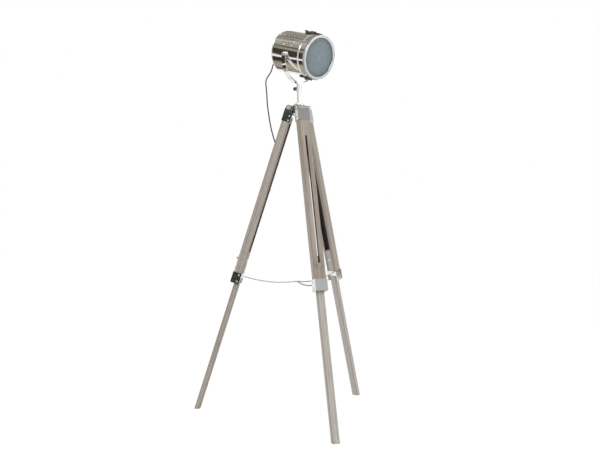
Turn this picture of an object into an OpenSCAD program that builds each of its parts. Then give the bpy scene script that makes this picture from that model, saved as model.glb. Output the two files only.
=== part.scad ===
// Tripod spotlight floor lamp: a chrome drum head on a yoke, on three slotted wooden legs.
// Millimetres, +Z up. The lamp stands on z = 0; its centre line is the vertical through [0, axis_y].
// The front leg points to -Y, the others are turned 120 degrees either way.

/* [Stand] */
// Height of the leg hinge pins above the floor
hinge_z = 1199; // [1100:1:1300]
// Distance of each hinge pin from the centre line
hinge_r = 35; // [33:0.5:42]
// Lean of the legs from the vertical
leg_splay = 17.6; // [15:0.1:20]

/* [Upper legs] */
// Width of an upper leg board, across its slotted face
board_w = 44; // [40:0.5:46]
// Depth of an upper leg board, from outer to inner face
board_d = 32; // [29:0.5:34]
// How far the middle of the board lies inside the hinge pin
board_inset = 4.4; // [3:0.1:6]
// Distance from hinge pin to the top end of the board
board_top = 19; // [18:0.5:22]
// Distance from hinge pin to the bottom end of the board
board_end = 716; // [690:1:730]
// Rounding of the board's long edges
edge_r = 2; // [1:0.25:3]
// Width of the slot through the outer wall
slot_w = 7.5; // [6.6:0.1:8]
// Distance from hinge pin to the top of the slot
slot_top = 118; // [100:1:125]

/* [Lower legs] */
// Width of a lower leg
lower_w = 26; // [24:0.5:28]
// Depth of a lower leg
lower_d = 19; // [17:0.5:20]
// Distance from hinge pin to the top end of a lower leg
lower_top = 586; // [580:1:600]
// Distance from the lower leg's top end to its clamp bolt
bolt_down = 36; // [30:1:40]
// Sliding clearance between a lower leg and its channel
slide_gap = 0.3; // [0.2:0.05:0.5]

/* [Leg brackets] */
// Thickness of the bracket sheet
sheet_t = 2; // [1.5:0.25:2.5]
// Distance from hinge pin to the lower edge of the top bracket
cap_end = 54; // [50:1:60]
// Radius of the rounded hinge ears
ear_r = 11; // [10:0.5:12]
// Height of the bottom bracket
band_h = 44; // [36:1:48]
// Radius of the hinge bolts
hinge_bolt_r = 4; // [3.5:0.25:4.5]

/* [Hub] */
// Radius of the hub's boss
hub_r = 19; // [18:0.5:20]
// Depth of the hub below the leg hinge pins
hub_down = 19; // [17:0.5:21]
// Width of each lug of the hub
lug_w = 24; // [20:0.5:28]
// Radius of the stem flange
flange_r = 21; // [20:0.5:24]
// Radius of the stem
stem_r = 6.5; // [6:0.25:8]

/* [Yoke] */
// Height of the head's tilt axis above the leg hinge pins
pivot_up = 199.5; // [192:0.5:212]
// Turn of the head from the front leg's direction
head_pan = 26.3; // [0:0.1:60]
// Width of the yoke strap
strap_w = 20; // [16:0.5:24]
// Thickness of the yoke strap
strap_t = 3; // [2.5:0.25:3.5]
// Straight length of the yoke arms below the tilt axis
arm_straight = 19.3; // [16:0.1:24]
// Outer radius of the yoke's socket
socket_r = 8.5; // [8.4:0.1:10]
// Length of the yoke's socket
socket_l = 31; // [28:1:36]

/* [Head] */
// Outer diameter of the drum
drum_d = 160; // [152:0.5:164]
// Wall of the drum
drum_wall = 1.2; // [1:0.1:1.6]
// Length of the head, from bezel to rear edge
head_l = 184; // [178:1:190]
// Distance from the bezel's face to the tilt axis
pivot_back = 110; // [106:0.5:114]
// How far the tilt axis lies below the drum's axis
pivot_drop = 10; // [6:0.5:12]
// Nose-down tilt of the head
head_tilt = 14; // [0:0.5:20]
// Depth of the hinged front collar, bezel included
collar_l = 39; // [36:0.5:42]
// How far the bezel stands out past the drum
bezel_lip = 3; // [2.6:0.1:4]
// Width of the bezel's face
bezel_w = 11; // [8:0.5:14]
// Diameter of the vent holes
vent_d = 5; // [4:0.5:6]

/* [Spreader chain] */
// Wire diameter of the chain
chain_wire = 1.4; // [1.2:0.1:1.5]
// Outer width of a link
link_w = 5; // [5:0.1:5.6]
// Outer length of a link
link_l = 9; // [9:0.1:10]
// Height of the ring where the three runs meet, below the chain's eyes
ring_down = 14; // [4:1:22]
// Radius of that ring
ring_r = 6; // [5:0.5:8]
// Dip of a run below the straight line between its ends
chain_dip = 11; // [6:1:16]

/* [Cord] */
// Diameter of the supply cord
cord_d = 5; // [4.6:0.1:5.2]
// Turns in the tied hank
hank_turns = 5; // [3:1:5]
// Length of the hank over the middles of its end loops
hank_l = 112; // [100:1:118]
// Width of the hank over the middles of its runs
hank_w = 30; // [28:0.5:31]

/* [Hidden] */
$fn = 72;

eps = 0.01;
fit = 0.05;                    // radial clearance of a pin in its bore
seat = 0.3;                    // gap between faces that pass each other
front = 0;                     // turn of each leg about the centre line
left = -120;
right = 120;

wood = [0.60, 0.55, 0.50];
chrome = [0.80, 0.80, 0.82];
satin = [0.72, 0.74, 0.75];
steel = [0.62, 0.62, 0.64];
black = [0.12, 0.12, 0.13];

// Channel of the upper leg: the groove opens to the inner face
inner_y = board_inset + board_d / 2;
outer_y = board_inset - board_d / 2;
groove_w = lower_w + 2 * slide_gap;
groove_d = lower_d + 2 * slide_gap;
groove_top = cap_end + 2;
lower_in = inner_y - slide_gap;            // inner face of the lower leg
lower_out = lower_in - lower_d;            // outer face of the lower leg
bolt_s = lower_top + bolt_down;
bolt_r = 3;
slot_end = bolt_s + slot_w / 2;

// Where a lower leg meets the floor, and the middle of the feet's outline
foot_s = (hinge_z - lower_out * sin(leg_splay)) / cos(leg_splay);
foot_r = hinge_r + foot_s * sin(leg_splay) - lower_out * cos(leg_splay);
axis_y = foot_r / 4 - lower_w * sin(60) / 4;

// Brackets
cap_w = board_w + 2 * sheet_t;
band_top = board_end + sheet_t - band_h;
strap_h = 20;
eye_r = 4;
eye_wire = 0.9;
eye_y = inner_y + sheet_t + eye_r;
eye_s = band_top + strap_h / 2;
screw_y = board_inset + board_d / 4;
screw_r = 1.7;
screw_l = 7;

// Hub and stem
hub_z = hinge_z - hub_down;
pivot_z = hinge_z + pivot_up;
hub_top = hinge_z + ear_r - 2;
flange_t = 5;
hub_screw_pcd = 29;
yoke_r = drum_d / 2 + 3.7 + strap_t;       // outer radius of the yoke's bend
yoke_z = pivot_z - arm_straight - yoke_r;  // underside of the yoke
stem_top = yoke_z - seat;
thumb_z = yoke_z - 17.5;
thumb_r = 2.5;

// Head, measured along the drum's axis from the tilt axis, forwards positive
drum_r = drum_d / 2;
bezel_z = pivot_back;
rear_z = pivot_back - head_l;
seam_z = pivot_back - collar_l;
bezel_r = drum_r + bezel_lip;
glass_r = bezel_r - bezel_w;
bead = 1.8;
pivot_r = 4;
boss_r = 9;
boss_x = drum_r + 3.4;
vent_rows = [42, 54, 66];
vent_steps = [-28, -12, 4, 20];
gland_y = -45;

// Door hinge under the seam
knuckle_r = 4.5;
knuckle_y = -(drum_r + bead + knuckle_r + 0.7);
knuckle_l = 12;
pin_r = 2.2;

// Draw latch on top of the seam
lever_z = seam_z - 18;
lever_y = drum_r + 8;
throw = 11;                                // bail pivot behind the lever pivot
bail_z = lever_z - throw;
bail_y = lever_y - 1.5;
bail_r = 1.2;
bail_x = 11.6;
bar_z = seam_z + 14;
bar_y = drum_r + bead + 4.8;
keeper_w = 16;
keeper_y = bar_y - bail_r - 2 * seat;      // top of the keeper plate, under the bail's bar
hook_z = bar_z + bail_r + 3 * seat;        // foot of the hook, in front of the bar

// ---------------------------------------------------------------- frames

module lamp() translate([0, axis_y, 0]) children();

// Leg frame: origin on the hinge pin, -Z down the leg, -Y outwards, X across the leg
module leg_frame(turn)
    rotate([0, 0, turn]) translate([0, -hinge_r, hinge_z]) rotate([-leg_splay, 0, 0]) children();

// Yoke frame: origin on the tilt axis, X along it, -Y forwards
module yoke_frame() translate([0, 0, pivot_z]) rotate([0, 0, head_pan]) children();

// Drum frame: Z along the drum's axis and forwards, Y up, origin level with the tilt axis
module drum_frame()
    yoke_frame() rotate([head_tilt, 0, 0]) translate([0, 0, pivot_drop]) rotate([90, 0, 0]) children();

// The same frames for single points
function turn_z(p, a) = [p.x * cos(a) - p.y * sin(a), p.x * sin(a) + p.y * cos(a), p.z];
function turn_x(p, a) = [p.x, p.y * cos(a) - p.z * sin(a), p.y * sin(a) + p.z * cos(a)];
function leg_point(p, turn) = turn_z(turn_x(p, -leg_splay) + [0, -hinge_r, hinge_z], turn);
function drum_point(p) =
    turn_z(turn_x([p.x, -p.z, p.y + pivot_drop], head_tilt), head_pan) + [0, 0, pivot_z];

// ---------------------------------------------------------------- shared shapes

module rounded_rect(w, d, r) {
    square([w - 2 * r, d], center = true);
    square([w, d - 2 * r], center = true);
    for (x = [-1, 1], y = [-1, 1]) translate([x * (w / 2 - r), y * (d / 2 - r)]) circle(r);
}

// A cylinder along X, from x0 to x1
module rod_x(r, x0, x1) translate([x0, 0, 0]) rotate([0, 90, 0]) cylinder(r = r, h = x1 - x0);

// A cylinder along Y, from y0 to y1
module rod_y(r, y0, y1) translate([0, y1, 0]) rotate([90, 0, 0]) cylinder(r = r, h = y1 - y0);

// Low domed screw head, from z = 0 up
module dome_head(r, h)
    rotate_extrude() intersection() {
        translate([0, h - (r * r + h * h) / (2 * h)]) circle((r * r + h * h) / (2 * h));
        square([r, h]);
    }

// ---------------------------------------------------------------- hub and stem

module hub() color(chrome) lamp() difference() {
    union() {
        rotate_extrude() polygon([
            [0, hub_z], [hub_r - 2, hub_z], [hub_r, hub_z + 2], [hub_r, hub_top], [0, hub_top]
        ]);
        for (turn = [front, left, right]) rotate([0, 0, turn]) hub_lug();
    }
    for (turn = [front, left, right])
        rotate([0, 0, turn]) translate([0, -hinge_r, hinge_z]) rod_x(hinge_bolt_r + fit, -lug_w, lug_w);
    translate([0, 0, hub_top - 16]) cylinder(r = stem_r + fit, h = 20);
    hub_screw_places() translate([0, 0, -15]) cylinder(r = 2 + fit, h = 20);
}

// One lug: a tongue that ends in a round nose about the hinge pin
module hub_lug() {
    nose = ear_r - 2;
    translate([0, -hinge_r, hinge_z]) rod_x(nose, -lug_w / 2, lug_w / 2);
    translate([-lug_w / 2, -hinge_r, hinge_z - nose]) cube([lug_w, hinge_r, 2 * nose]);
}

module hub_screw_places()
    for (k = [0:2]) rotate([0, 0, 60 + 120 * k]) translate([0, -hub_screw_pcd / 2, hub_top]) children();

module stem() color(chrome) lamp() difference() {
    union() {
        translate([0, 0, hub_top - 15]) cylinder(r = stem_r, h = stem_top - hub_top + 15);
        translate([0, 0, hub_top]) rotate_extrude() polygon([
            [0, 0], [flange_r - 1, 0], [flange_r, 1], [flange_r, flange_t - 1], [flange_r - 1, flange_t],
            [stem_r + 2.5, flange_t], [stem_r + 1.5, flange_t + 5], [0, flange_t + 5]
        ]);
    }
    hub_screw_places() cylinder(r = 2 + fit, h = flange_t + 8);
}

module hub_screws() color(steel) lamp() hub_screw_places() {
    translate([0, 0, -14]) cylinder(r = 2, h = 14 + flange_t);
    translate([0, 0, flange_t]) difference() {
        cylinder(r = 3.5, h = 4.5);
        translate([0, 0, 2]) cylinder(r = 1.7, h = 4, $fn = 6);
    }
}

// ---------------------------------------------------------------- legs

// Side view of a cheek of the top bracket, x along the leg's depth, y up the leg
module cheek_outline() {
    circle(ear_r);
    polygon([
        [outer_y - sheet_t, -cap_end], [inner_y, -cap_end], [inner_y, -22],
        [ear_r * cos(40), ear_r * sin(40)], [-ear_r * cos(20), ear_r * sin(20)], [outer_y - sheet_t, -8]
    ]);
}

// Places an outline drawn in the leg's depth and length on both cheeks
module on_cheeks() for (side = [-1, 1])
    translate([side * (board_w + sheet_t) / 2, 0, 0]) rotate([90, 0, 90])
        translate([0, 0, -sheet_t / 2]) linear_extrude(sheet_t) children();

module cap_screw_spots() for (s = [cap_end - 24, cap_end - 6])
    translate([0, screw_y, -s]) children();

module band_screw_spots() for (s = [band_top + 9, band_top + band_h - 9])
    translate([0, screw_y, -s]) children();

module leg_cap(turn) color(chrome) lamp() leg_frame(turn) difference() {
    union() {
        on_cheeks() cheek_outline();
        translate([-cap_w / 2, outer_y - sheet_t, -cap_end]) cube([cap_w, sheet_t, cap_end - 8]);
        translate([-cap_w / 2, inner_y, 20 - cap_end]) cube([cap_w, sheet_t, cap_end - 42]);
    }
    rod_x(hinge_bolt_r + fit, -cap_w, cap_w);
    cap_screw_spots() rod_x(screw_r + fit, -cap_w, cap_w);
}

// Bolt, two spacer bushes that centre the hub's lug, and the nut
module hinge_bolt(turn) color(steel) lamp() leg_frame(turn) {
    rod_x(hinge_bolt_r, -cap_w / 2, cap_w / 2);
    for (side = [0, 180]) rotate([0, 0, side]) {
        difference() {
            rod_x(hinge_bolt_r + 2.5, lug_w / 2 + seat, board_w / 2);
            rod_x(hinge_bolt_r, 0, board_w);
        }
        rod_x(hinge_bolt_r + 4, cap_w / 2, cap_w / 2 + 1.2);
        translate([cap_w / 2 + 1.2, 0, 0]) rotate([0, 90, 0]) cylinder(r = 7, h = 3.6, $fn = 6);
    }
}

module upper_leg(turn) color(wood) lamp() leg_frame(turn) difference() {
    translate([0, board_inset, -board_end]) linear_extrude(board_end - board_top)
        rounded_rect(board_w, board_d, edge_r);
    translate([-groove_w / 2, inner_y - groove_d, -board_end - 1])
        cube([groove_w, groove_d + 1, board_end - groove_top + 1]);
    translate([-slot_w / 2, outer_y - 1, -slot_end + slot_w / 2])
        cube([slot_w, board_d, slot_end - slot_top - slot_w]);
    for (s = [slot_top + slot_w / 2, slot_end - slot_w / 2])
        translate([0, 0, -s]) rod_y(slot_w / 2, outer_y - 1, outer_y + board_d - groove_d + 1);
    for (side = [-1, 1]) {
        cap_screw_spots() leg_screw_hole(side);
        band_screw_spots() leg_screw_hole(side);
    }
}

module leg_screw_hole(side)
    translate([side * (board_w / 2 - screw_l / 2), 0, 0]) rod_x(screw_r + fit, -screw_l / 2, screw_l / 2 + 1);

module leg_screws(turn) color(steel) lamp() leg_frame(turn) for (side = [0, 180]) {
    cap_screw_spots() rotate([side, 0, side]) leg_screw();
    band_screw_spots() rotate([side, 0, side]) leg_screw();
}

module leg_screw() {
    rod_x(screw_r, board_w / 2 - screw_l + 0.5, cap_w / 2);
    translate([cap_w / 2, 0, 0]) rotate([0, 90, 0]) dome_head(3.2, 1.5);
}

// Sheet band round the board's foot, with a cross strap and the chain's eye behind
module leg_bracket(turn) color(chrome) lamp() leg_frame(turn) {
    difference() {
        union() {
            translate([-cap_w / 2, outer_y - sheet_t, -band_top - band_h]) cube([cap_w, sheet_t, band_h]);
            for (x = [-cap_w / 2, board_w / 2])
                translate([x, outer_y - sheet_t, -band_top - band_h]) cube([sheet_t, board_d + 2 * sheet_t, band_h]);
            translate([-cap_w / 2, inner_y, -eye_s - strap_h / 2]) cube([cap_w, sheet_t, strap_h]);
        }
        band_screw_spots() rod_x(screw_r + fit, -cap_w, cap_w);
    }
    translate([0, eye_y, -eye_s]) rotate([0, 90, 0]) rotate_extrude()
        translate([eye_r, 0]) circle(eye_wire, $fn = 32);
}

module lower_leg(turn) color(wood) lamp() difference() {
    leg_frame(turn) difference() {
        translate([0, lower_in - lower_d / 2, -foot_s - 20]) linear_extrude(foot_s + 20 - lower_top)
            rounded_rect(lower_w, lower_d, edge_r / 2);
        translate([0, 0, -bolt_s]) rod_y(bolt_r + fit, lower_out - 1, lower_in + 1);
    }
    translate([-2 * foot_r, -2 * foot_r, -foot_r]) cube([4 * foot_r, 4 * foot_r, foot_r]);
}

// Round-headed bolt through the lower leg and the slot
module clamp_bolt(turn) color(steel) lamp() leg_frame(turn) translate([0, 0, -bolt_s]) {
    rod_y(bolt_r, outer_y - 14, lower_in);
    translate([0, lower_in, 0]) rotate([-90, 0, 0]) dome_head(8, 3);
}

module wing_nut(turn) color(steel) lamp() leg_frame(turn) translate([0, outer_y - seat, -bolt_s])
    rotate([90, 0, 0]) difference() {
        union() {
            cylinder(r = 8, h = 1.4);
            cylinder(r1 = 6.5, r2 = 4.6, h = 8);
            for (side = [0, 180]) rotate([0, 0, side]) wing();
        }
        translate([0, 0, -1]) cylinder(r = bolt_r + fit, h = 12);
    }

// One wing, drawn in the plane of the bolt
module wing() rotate([90, 0, 90]) translate([0, 0, -1.2]) linear_extrude(2.4) {
    polygon([[3, 1], [6.5, 1], [15, 7], [9, 13.5], [3, 7.5]]);
    translate([11.6, 9.6]) circle(4.4);
}

// ---------------------------------------------------------------- spreader chain

// One run lies in its leg's radial plane. Its middle line is a parabola from the ring's wire to the eye's.
eye_p = leg_point([0, eye_y + eye_r, -eye_s], front);
run_r0 = ring_r;
run_r1 = -eye_p.y;
run_z1 = eye_p.z;
ring_z = run_z1 - ring_down;
link_c = link_w / 2 - chain_wire / 2;                 // radius of a link's end bends
link_a = link_l / 2 - link_w / 2;                     // half its straight length
link_reach = link_l / 2 - chain_wire - eye_wire - 0.1;    // link centre from the wire it hangs on
run_span = run_r1 - run_r0;
function run_slope(u) = atan2(run_z1 - ring_z - 4 * chain_dip * (1 - 2 * u), run_span);
run_a = link_reach * cos(run_slope(0)) / run_span;
run_b = link_reach * cos(run_slope(1)) / run_span;
function run_z(u) = ring_z + (run_z1 - ring_z) * u - 4 * chain_dip * u * (1 - u);
function run_point(u) = [0, -(run_r0 + run_span * u), run_z(u)];
run_len = norm(run_point(run_a) - run_point(0.5)) + norm(run_point(0.5) - run_point(1 - run_b));
link_gaps = 2 * ceil(run_len / (link_l - 2 * chain_wire - 0.15) / 2 + 0.5) - 1;

module chain_run(turn) color(chrome) lamp() rotate([0, 0, turn])
    for (k = [0:link_gaps]) {
        u = run_a + (1 - run_a - run_b) * k / link_gaps;
        translate(run_point(u)) rotate([-run_slope(u), 0, 0]) rotate([90, k % 2 == 0 ? 90 : 0, 0]) link();
    }

// A link along Z, its bends in the XZ plane
module link() for (side = [0, 180]) rotate([0, side, 0]) {
    translate([link_c, 0, -link_a]) cylinder(r = chain_wire / 2, h = 2 * link_a, $fn = 24);
    translate([0, 0, link_a]) rotate([90, 0, 0]) rotate_extrude(angle = 180, $fn = 24)
        translate([link_c, 0]) circle(chain_wire / 2);
}

module chain_ring() color(chrome) lamp() translate([0, 0, ring_z]) rotate_extrude()
    translate([ring_r, 0]) circle(eye_wire, $fn = 32);

// ---------------------------------------------------------------- yoke

// A strap bent to a half circle between two straight arms with round ends
module yoke() color(chrome) lamp() yoke_frame() difference() {
    union() {
        translate([0, 0, -arm_straight]) rotate([90, 180, 0]) rotate_extrude(angle = 180, $fn = 144)
            translate([yoke_r - strap_t, -strap_w / 2]) square([strap_t, strap_w]);
        for (x = [-yoke_r, yoke_r - strap_t]) {
            translate([x, -strap_w / 2, -arm_straight]) cube([strap_t, strap_w, arm_straight]);
            rod_x(strap_w / 2, x, x + strap_t);
        }
    }
    rod_x(pivot_r + fit, -yoke_r - 1, yoke_r + 1);
}

module yoke_socket() color(chrome) lamp() difference() {
    union() {
        translate([0, 0, yoke_z - socket_l]) rotate_extrude() polygon([
            [0, 0], [socket_r - 0.5, 0], [socket_r, 0.6], [socket_r, socket_l + 1], [0, socket_l + 1]
        ]);
        rotate([0, 0, head_pan]) translate([0, 0, thumb_z]) rod_y(5, 0, socket_r + 4);
    }
    translate([0, 0, yoke_z - socket_l - 1]) cylinder(r = stem_r + fit, h = socket_l + 3);
    rotate([0, 0, head_pan]) translate([0, 0, thumb_z]) rod_y(thumb_r + fit, 0, socket_r + 5);
    translate([0, 0, pivot_z - arm_straight]) rotate([90, 0, head_pan]) translate([0, 0, -20])
        cylinder(r = yoke_r, h = 40, $fn = 144);
}

module stem_thumbscrew() color(steel) lamp() translate([0, 0, thumb_z]) rotate([0, 0, head_pan]) difference() {
    union() {
        rod_y(thumb_r, stem_r + seat, socket_r + 6);
        rod_y(4, socket_r + 4 + seat, socket_r + 7);
        rod_y(7, socket_r + 6, socket_r + 16);
    }
    for (a = [0:30:330]) rotate([0, a, 0]) translate([7.6, 0, 0]) rod_y(1.3, socket_r + 5.5, socket_r + 17);
}

// ---------------------------------------------------------------- head

module drum() color(chrome) lamp() drum_frame() difference() {
    union() {
        rotate_extrude($fn = 144) drum_profile();
        for (side = [-1, 1]) translate([0, -pivot_drop, 0])
            rod_x(boss_r, side > 0 ? drum_r - 3.5 : -boss_x, side > 0 ? boss_x : 3.5 - drum_r);
    }
    translate([0, -pivot_drop, 0]) rod_x(pivot_r + fit, -boss_x - 1, boss_x + 1);
    for (side = [-1, 1], a = vent_rows, z = vent_steps)
        rotate([0, 0, side * a]) translate([0, drum_r - 6, z]) rod_y(vent_d / 2, 0, 12);
}

// Wall of the drum with a rolled rear edge and a raised bead at the seam
module drum_profile() {
    translate([drum_r - drum_wall, rear_z]) square([drum_wall, seam_z - rear_z - 0.4]);
    translate([drum_r - 0.1, rear_z + 1.4]) circle(1.4);
    translate([drum_r - 0.2, seam_z - 0.4 - bead]) circle(bead);
}

// Dished plate with a flange that sits inside the drum, and two rings of vent holes
module rear_cover() color(chrome) lamp() drum_frame() difference() {
    rotate_extrude($fn = 144) polygon([
        [0, rear_z - 2], [30, rear_z - 2], [34, rear_z + 2], [drum_r - 12, rear_z + 2],
        [drum_r - 8, rear_z], [drum_r - drum_wall - fit, rear_z], [drum_r - drum_wall - fit, rear_z + 9],
        [drum_r - drum_wall - 1.2, rear_z + 9], [drum_r - drum_wall - 1.2, rear_z + 1.2],
        [drum_r - 8, rear_z + 1.2], [drum_r - 12, rear_z + 3.2], [33.4, rear_z + 3.2],
        [29.5, rear_z - 0.8], [0, rear_z - 0.8]
    ]);
    for (a = [0:20:340]) if (abs(a - 180) > 30)
        rotate([0, 0, a]) translate([0, 50, rear_z - 5]) cylinder(r = 3, h = 12);
    translate([0, gland_y, rear_z - 5]) cylinder(r = 5 + fit, h = 12);
}

// Bolts that hold the drum between the yoke's arms
module pivot_bolts() color(steel) lamp() drum_frame() translate([0, -pivot_drop, 0])
    for (side = [0, 180]) rotate([0, side, 0]) {
        rod_x(pivot_r, drum_r - 6, yoke_r + seat);
        translate([yoke_r + seat, 0, 0]) rotate([0, 90, 0]) rod_head();
    }

// Low round head with a flat rim
module rod_head() {
    cylinder(r = 8.5, h = 1.5);
    translate([0, 0, 1.5]) dome_head(7.5, 2.5);
}

// Bowl z = bowl_z + bowl_k r^2, with a rim that sits inside the drum
bowl_z = rear_z + 52;
bowl_in = 22;
bowl_out = drum_r - 6;
bowl_k = (seam_z - 9 - bowl_z) / (bowl_out * bowl_out);
function bowl(r) = bowl_z + bowl_k * r * r;
bowl_steps = [for (k = [0:13]) bowl_in + (bowl_out - bowl_in) * k / 13];

module reflector() color(satin) lamp() drum_frame() rotate_extrude($fn = 144) polygon(concat(
    [for (r = bowl_steps) [r, bowl(r)]],
    [[drum_r - drum_wall - fit, seam_z - 9], [drum_r - drum_wall - fit, seam_z - 4],
     [drum_r - drum_wall - 1, seam_z - 4], [drum_r - drum_wall - 1, seam_z - 7.8], [bowl_out - 1, seam_z - 7.8]],
    [for (k = [len(bowl_steps) - 2:-1:0]) [bowl_steps[k], bowl(bowl_steps[k]) + 1]]
));

// The lampholder stands on the rear cover; the bulb's cap sits in its well
well_r = 13.4;
bulb_z = rear_z + 96;
bulb_r = 30;

module lamp_holder() color(black) lamp() drum_frame() difference() {
    rotate_extrude() polygon([
        [0, rear_z - 0.8], [24, rear_z - 0.8], [24, rear_z + 4], [20, rear_z + 8], [18, rear_z + 30],
        [20.5, rear_z + 32], [20.5, rear_z + 46], [0, rear_z + 46]
    ]);
    translate([0, 0, rear_z + 14]) cylinder(r = well_r, h = 40);
}

module bulb() color([0.95, 0.95, 0.9]) lamp() drum_frame() rotate_extrude() {
    intersection() {
        translate([0, bulb_z]) circle(bulb_r);
        translate([0, bulb_z - bulb_r - 2]) square([bulb_r + 10, 2 * bulb_r + 10]);
    }
    polygon([
        [0, rear_z + 15], [9, rear_z + 15], [well_r - 0.4, rear_z + 19], [well_r - 0.4, rear_z + 46.4],
        [well_r + 1, rear_z + 48], [20, rear_z + 60], [24.6, bulb_z - 17], [0, bulb_z - 17]
    ]);
}

// Hinged front: collar, bezel and frosted lens
module front_collar() color(chrome) lamp() drum_frame() rotate_extrude($fn = 144) {
    translate([drum_r - drum_wall, seam_z]) square([drum_wall + 0.6, collar_l - 5]);
    translate([drum_r - 0.2, seam_z + bead]) circle(bead);
    translate([glass_r + 2, bezel_z - 9.4]) square([drum_r - glass_r - 2, 1]);
}

module bezel() color(satin) lamp() drum_frame() rotate_extrude($fn = 144) {
    polygon([
        [glass_r, bezel_z - 3.2], [glass_r + 1.2, bezel_z - 1.2], [glass_r + 3, bezel_z],
        [bezel_r - 2.4, bezel_z], [bezel_r - 0.7, bezel_z - 0.7], [bezel_r, bezel_z - 2.4],
        [bezel_r, bezel_z - 11], [drum_r + 0.6 + fit, bezel_z - 11], [drum_r + 0.6 + fit, bezel_z - 5],
        [glass_r + 2, bezel_z - 4], [glass_r, bezel_z - 4]
    ]);
}

module lens() color([0.55, 0.63, 0.64, 0.8]) lamp() drum_frame() rotate_extrude($fn = 144)
    polygon([
        [0, bezel_z - 8.1], [glass_r + 5, bezel_z - 8.1], [glass_r + 5, bezel_z - 5.3],
        [glass_r - 0.4, bezel_z - 5.3], [glass_r / 2, bezel_z - 3.6], [0, bezel_z - 3]
    ]);

// Leaf on the drum with the hinge's two outer knuckles
module hinge_base() color(steel) lamp() drum_frame() difference() {
    union() {
        translate([-17, knuckle_y + 1.5, seam_z - 34]) cube([34, 12, 28]);
        for (side = [0, 180]) rotate([0, 0, 0]) mirror([side == 0 ? 0 : 1, 0, 0]) {
            translate([0, knuckle_y, seam_z]) rod_x(knuckle_r, knuckle_l / 2 + seat, 17);
            translate([knuckle_l / 2 + seat, knuckle_y + 1, seam_z - 8])
                cube([17 - knuckle_l / 2 - seat, 3, 8]);
        }
    }
    translate([0, 0, seam_z - 50]) cylinder(r = drum_r, h = 80, $fn = 144);
    translate([0, 0, seam_z - 0.4 - 2 * bead - 0.3]) cylinder(r = drum_r + bead + 0.2, h = 20, $fn = 144);
    translate([0, knuckle_y, seam_z]) rod_x(pin_r + fit, -20, 20);
}

module hinge_leaf() color(steel) lamp() drum_frame() difference() {
    union() {
        translate([-17, knuckle_y + 1.5, seam_z + 6]) cube([34, 12, 22]);
        translate([0, knuckle_y, seam_z]) rod_x(knuckle_r, -knuckle_l / 2, knuckle_l / 2);
        translate([-knuckle_l / 2, knuckle_y + 1, seam_z]) cube([knuckle_l, 3, 8]);
    }
    translate([0, 0, seam_z - 50]) cylinder(r = drum_r + 0.6, h = 100, $fn = 144);
    translate([0, 0, seam_z - 20]) cylinder(r = drum_r + bead + 0.2, h = 20 + 2 * bead + 0.3, $fn = 144);
    translate([0, knuckle_y, seam_z]) rod_x(pin_r + fit, -20, 20);
}

module hinge_pin() color(steel) lamp() drum_frame() translate([0, knuckle_y, seam_z]) {
    rod_x(pin_r, -18, 18);
    for (side = [0, 180]) rotate([0, side, 0]) translate([17, 0, 0]) rotate([0, 90, 0]) dome_head(3.4, 1.6);
}

// Draw latch: base with two ears, lever, wire bail, and the keeper on the collar
module latch_base() color(steel) lamp() drum_frame() difference() {
    union() {
        translate([-11, drum_r - 4, lever_z - 34]) cube([22, 6, 44]);
        for (x = [-10, 8]) {
            translate([0, lever_y, lever_z]) rod_x(4.6, x, x + 2);
            translate([x, drum_r, lever_z - 4.6]) cube([2, lever_y - drum_r, 9.2]);
        }
    }
    translate([0, 0, seam_z - 80]) cylinder(r = drum_r, h = 100, $fn = 144);
    translate([0, lever_y, lever_z]) rod_x(1.75 + fit, -20, 20);
}

module latch_lever() color(chrome) lamp() drum_frame() difference() {
    union() {
        translate([0, lever_y, lever_z]) rod_x(3.4, -7.6, 7.6);
        translate([0, bail_y, bail_z]) rod_x(3, -7.6, 7.6);
        translate([-7.6, lever_y - 1.4, lever_z - 40]) cube([15.2, 2.8, 40]);
        translate([0, lever_y + 0.8, lever_z - 40]) rod_x(2.2, -7.6, 7.6);
        translate([0, lever_y, lever_z]) rod_x(1.75, -9.9, 9.9);
    }
    translate([0, bail_y, bail_z]) rod_x(bail_r + fit, -20, 20);
}

module latch_bail() color(steel) lamp() drum_frame() {
    reach = norm([bar_z - bail_z, bar_y - bail_y]);
    fall = atan2(bail_y - bar_y, bar_z - bail_z);
    for (p = [[bail_y, bail_z], [bar_y, bar_z]]) translate([0, p.x, p.y]) rod_x(bail_r, -bail_x, bail_x);
    for (x = [-bail_x, bail_x]) translate([x, bail_y, bail_z]) rotate([fall, 0, 0])
        translate([0, 0, -1.6]) cylinder(r = bail_r + 0.1, h = reach + 3.2);
}

// Keeper: a plate shaped to the collar, and the hook riveted on it
module latch_keeper() color(steel) lamp() drum_frame() {
    difference() {
        translate([-keeper_w / 2, 0, 0]) rotate([90, 0, 90]) linear_extrude(keeper_w) polygon([
            [drum_r - 4, seam_z + 6], [keeper_y, seam_z + 8], [keeper_y, bar_z + 9], [drum_r - 4, bar_z + 12]
        ]);
        translate([0, 0, seam_z - 20]) cylinder(r = drum_r + 0.6, h = 100, $fn = 144);
    }
    translate([-keeper_w / 2, 0, 0]) rotate([90, 0, 90]) linear_extrude(keeper_w) polygon([
        [keeper_y + fit, hook_z], [bar_y + 1, hook_z + 1.4], [bar_y + 0.6, hook_z + 3.4],
        [keeper_y + fit, bar_z + 8.6]
    ]);
}

// ---------------------------------------------------------------- cord

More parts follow.
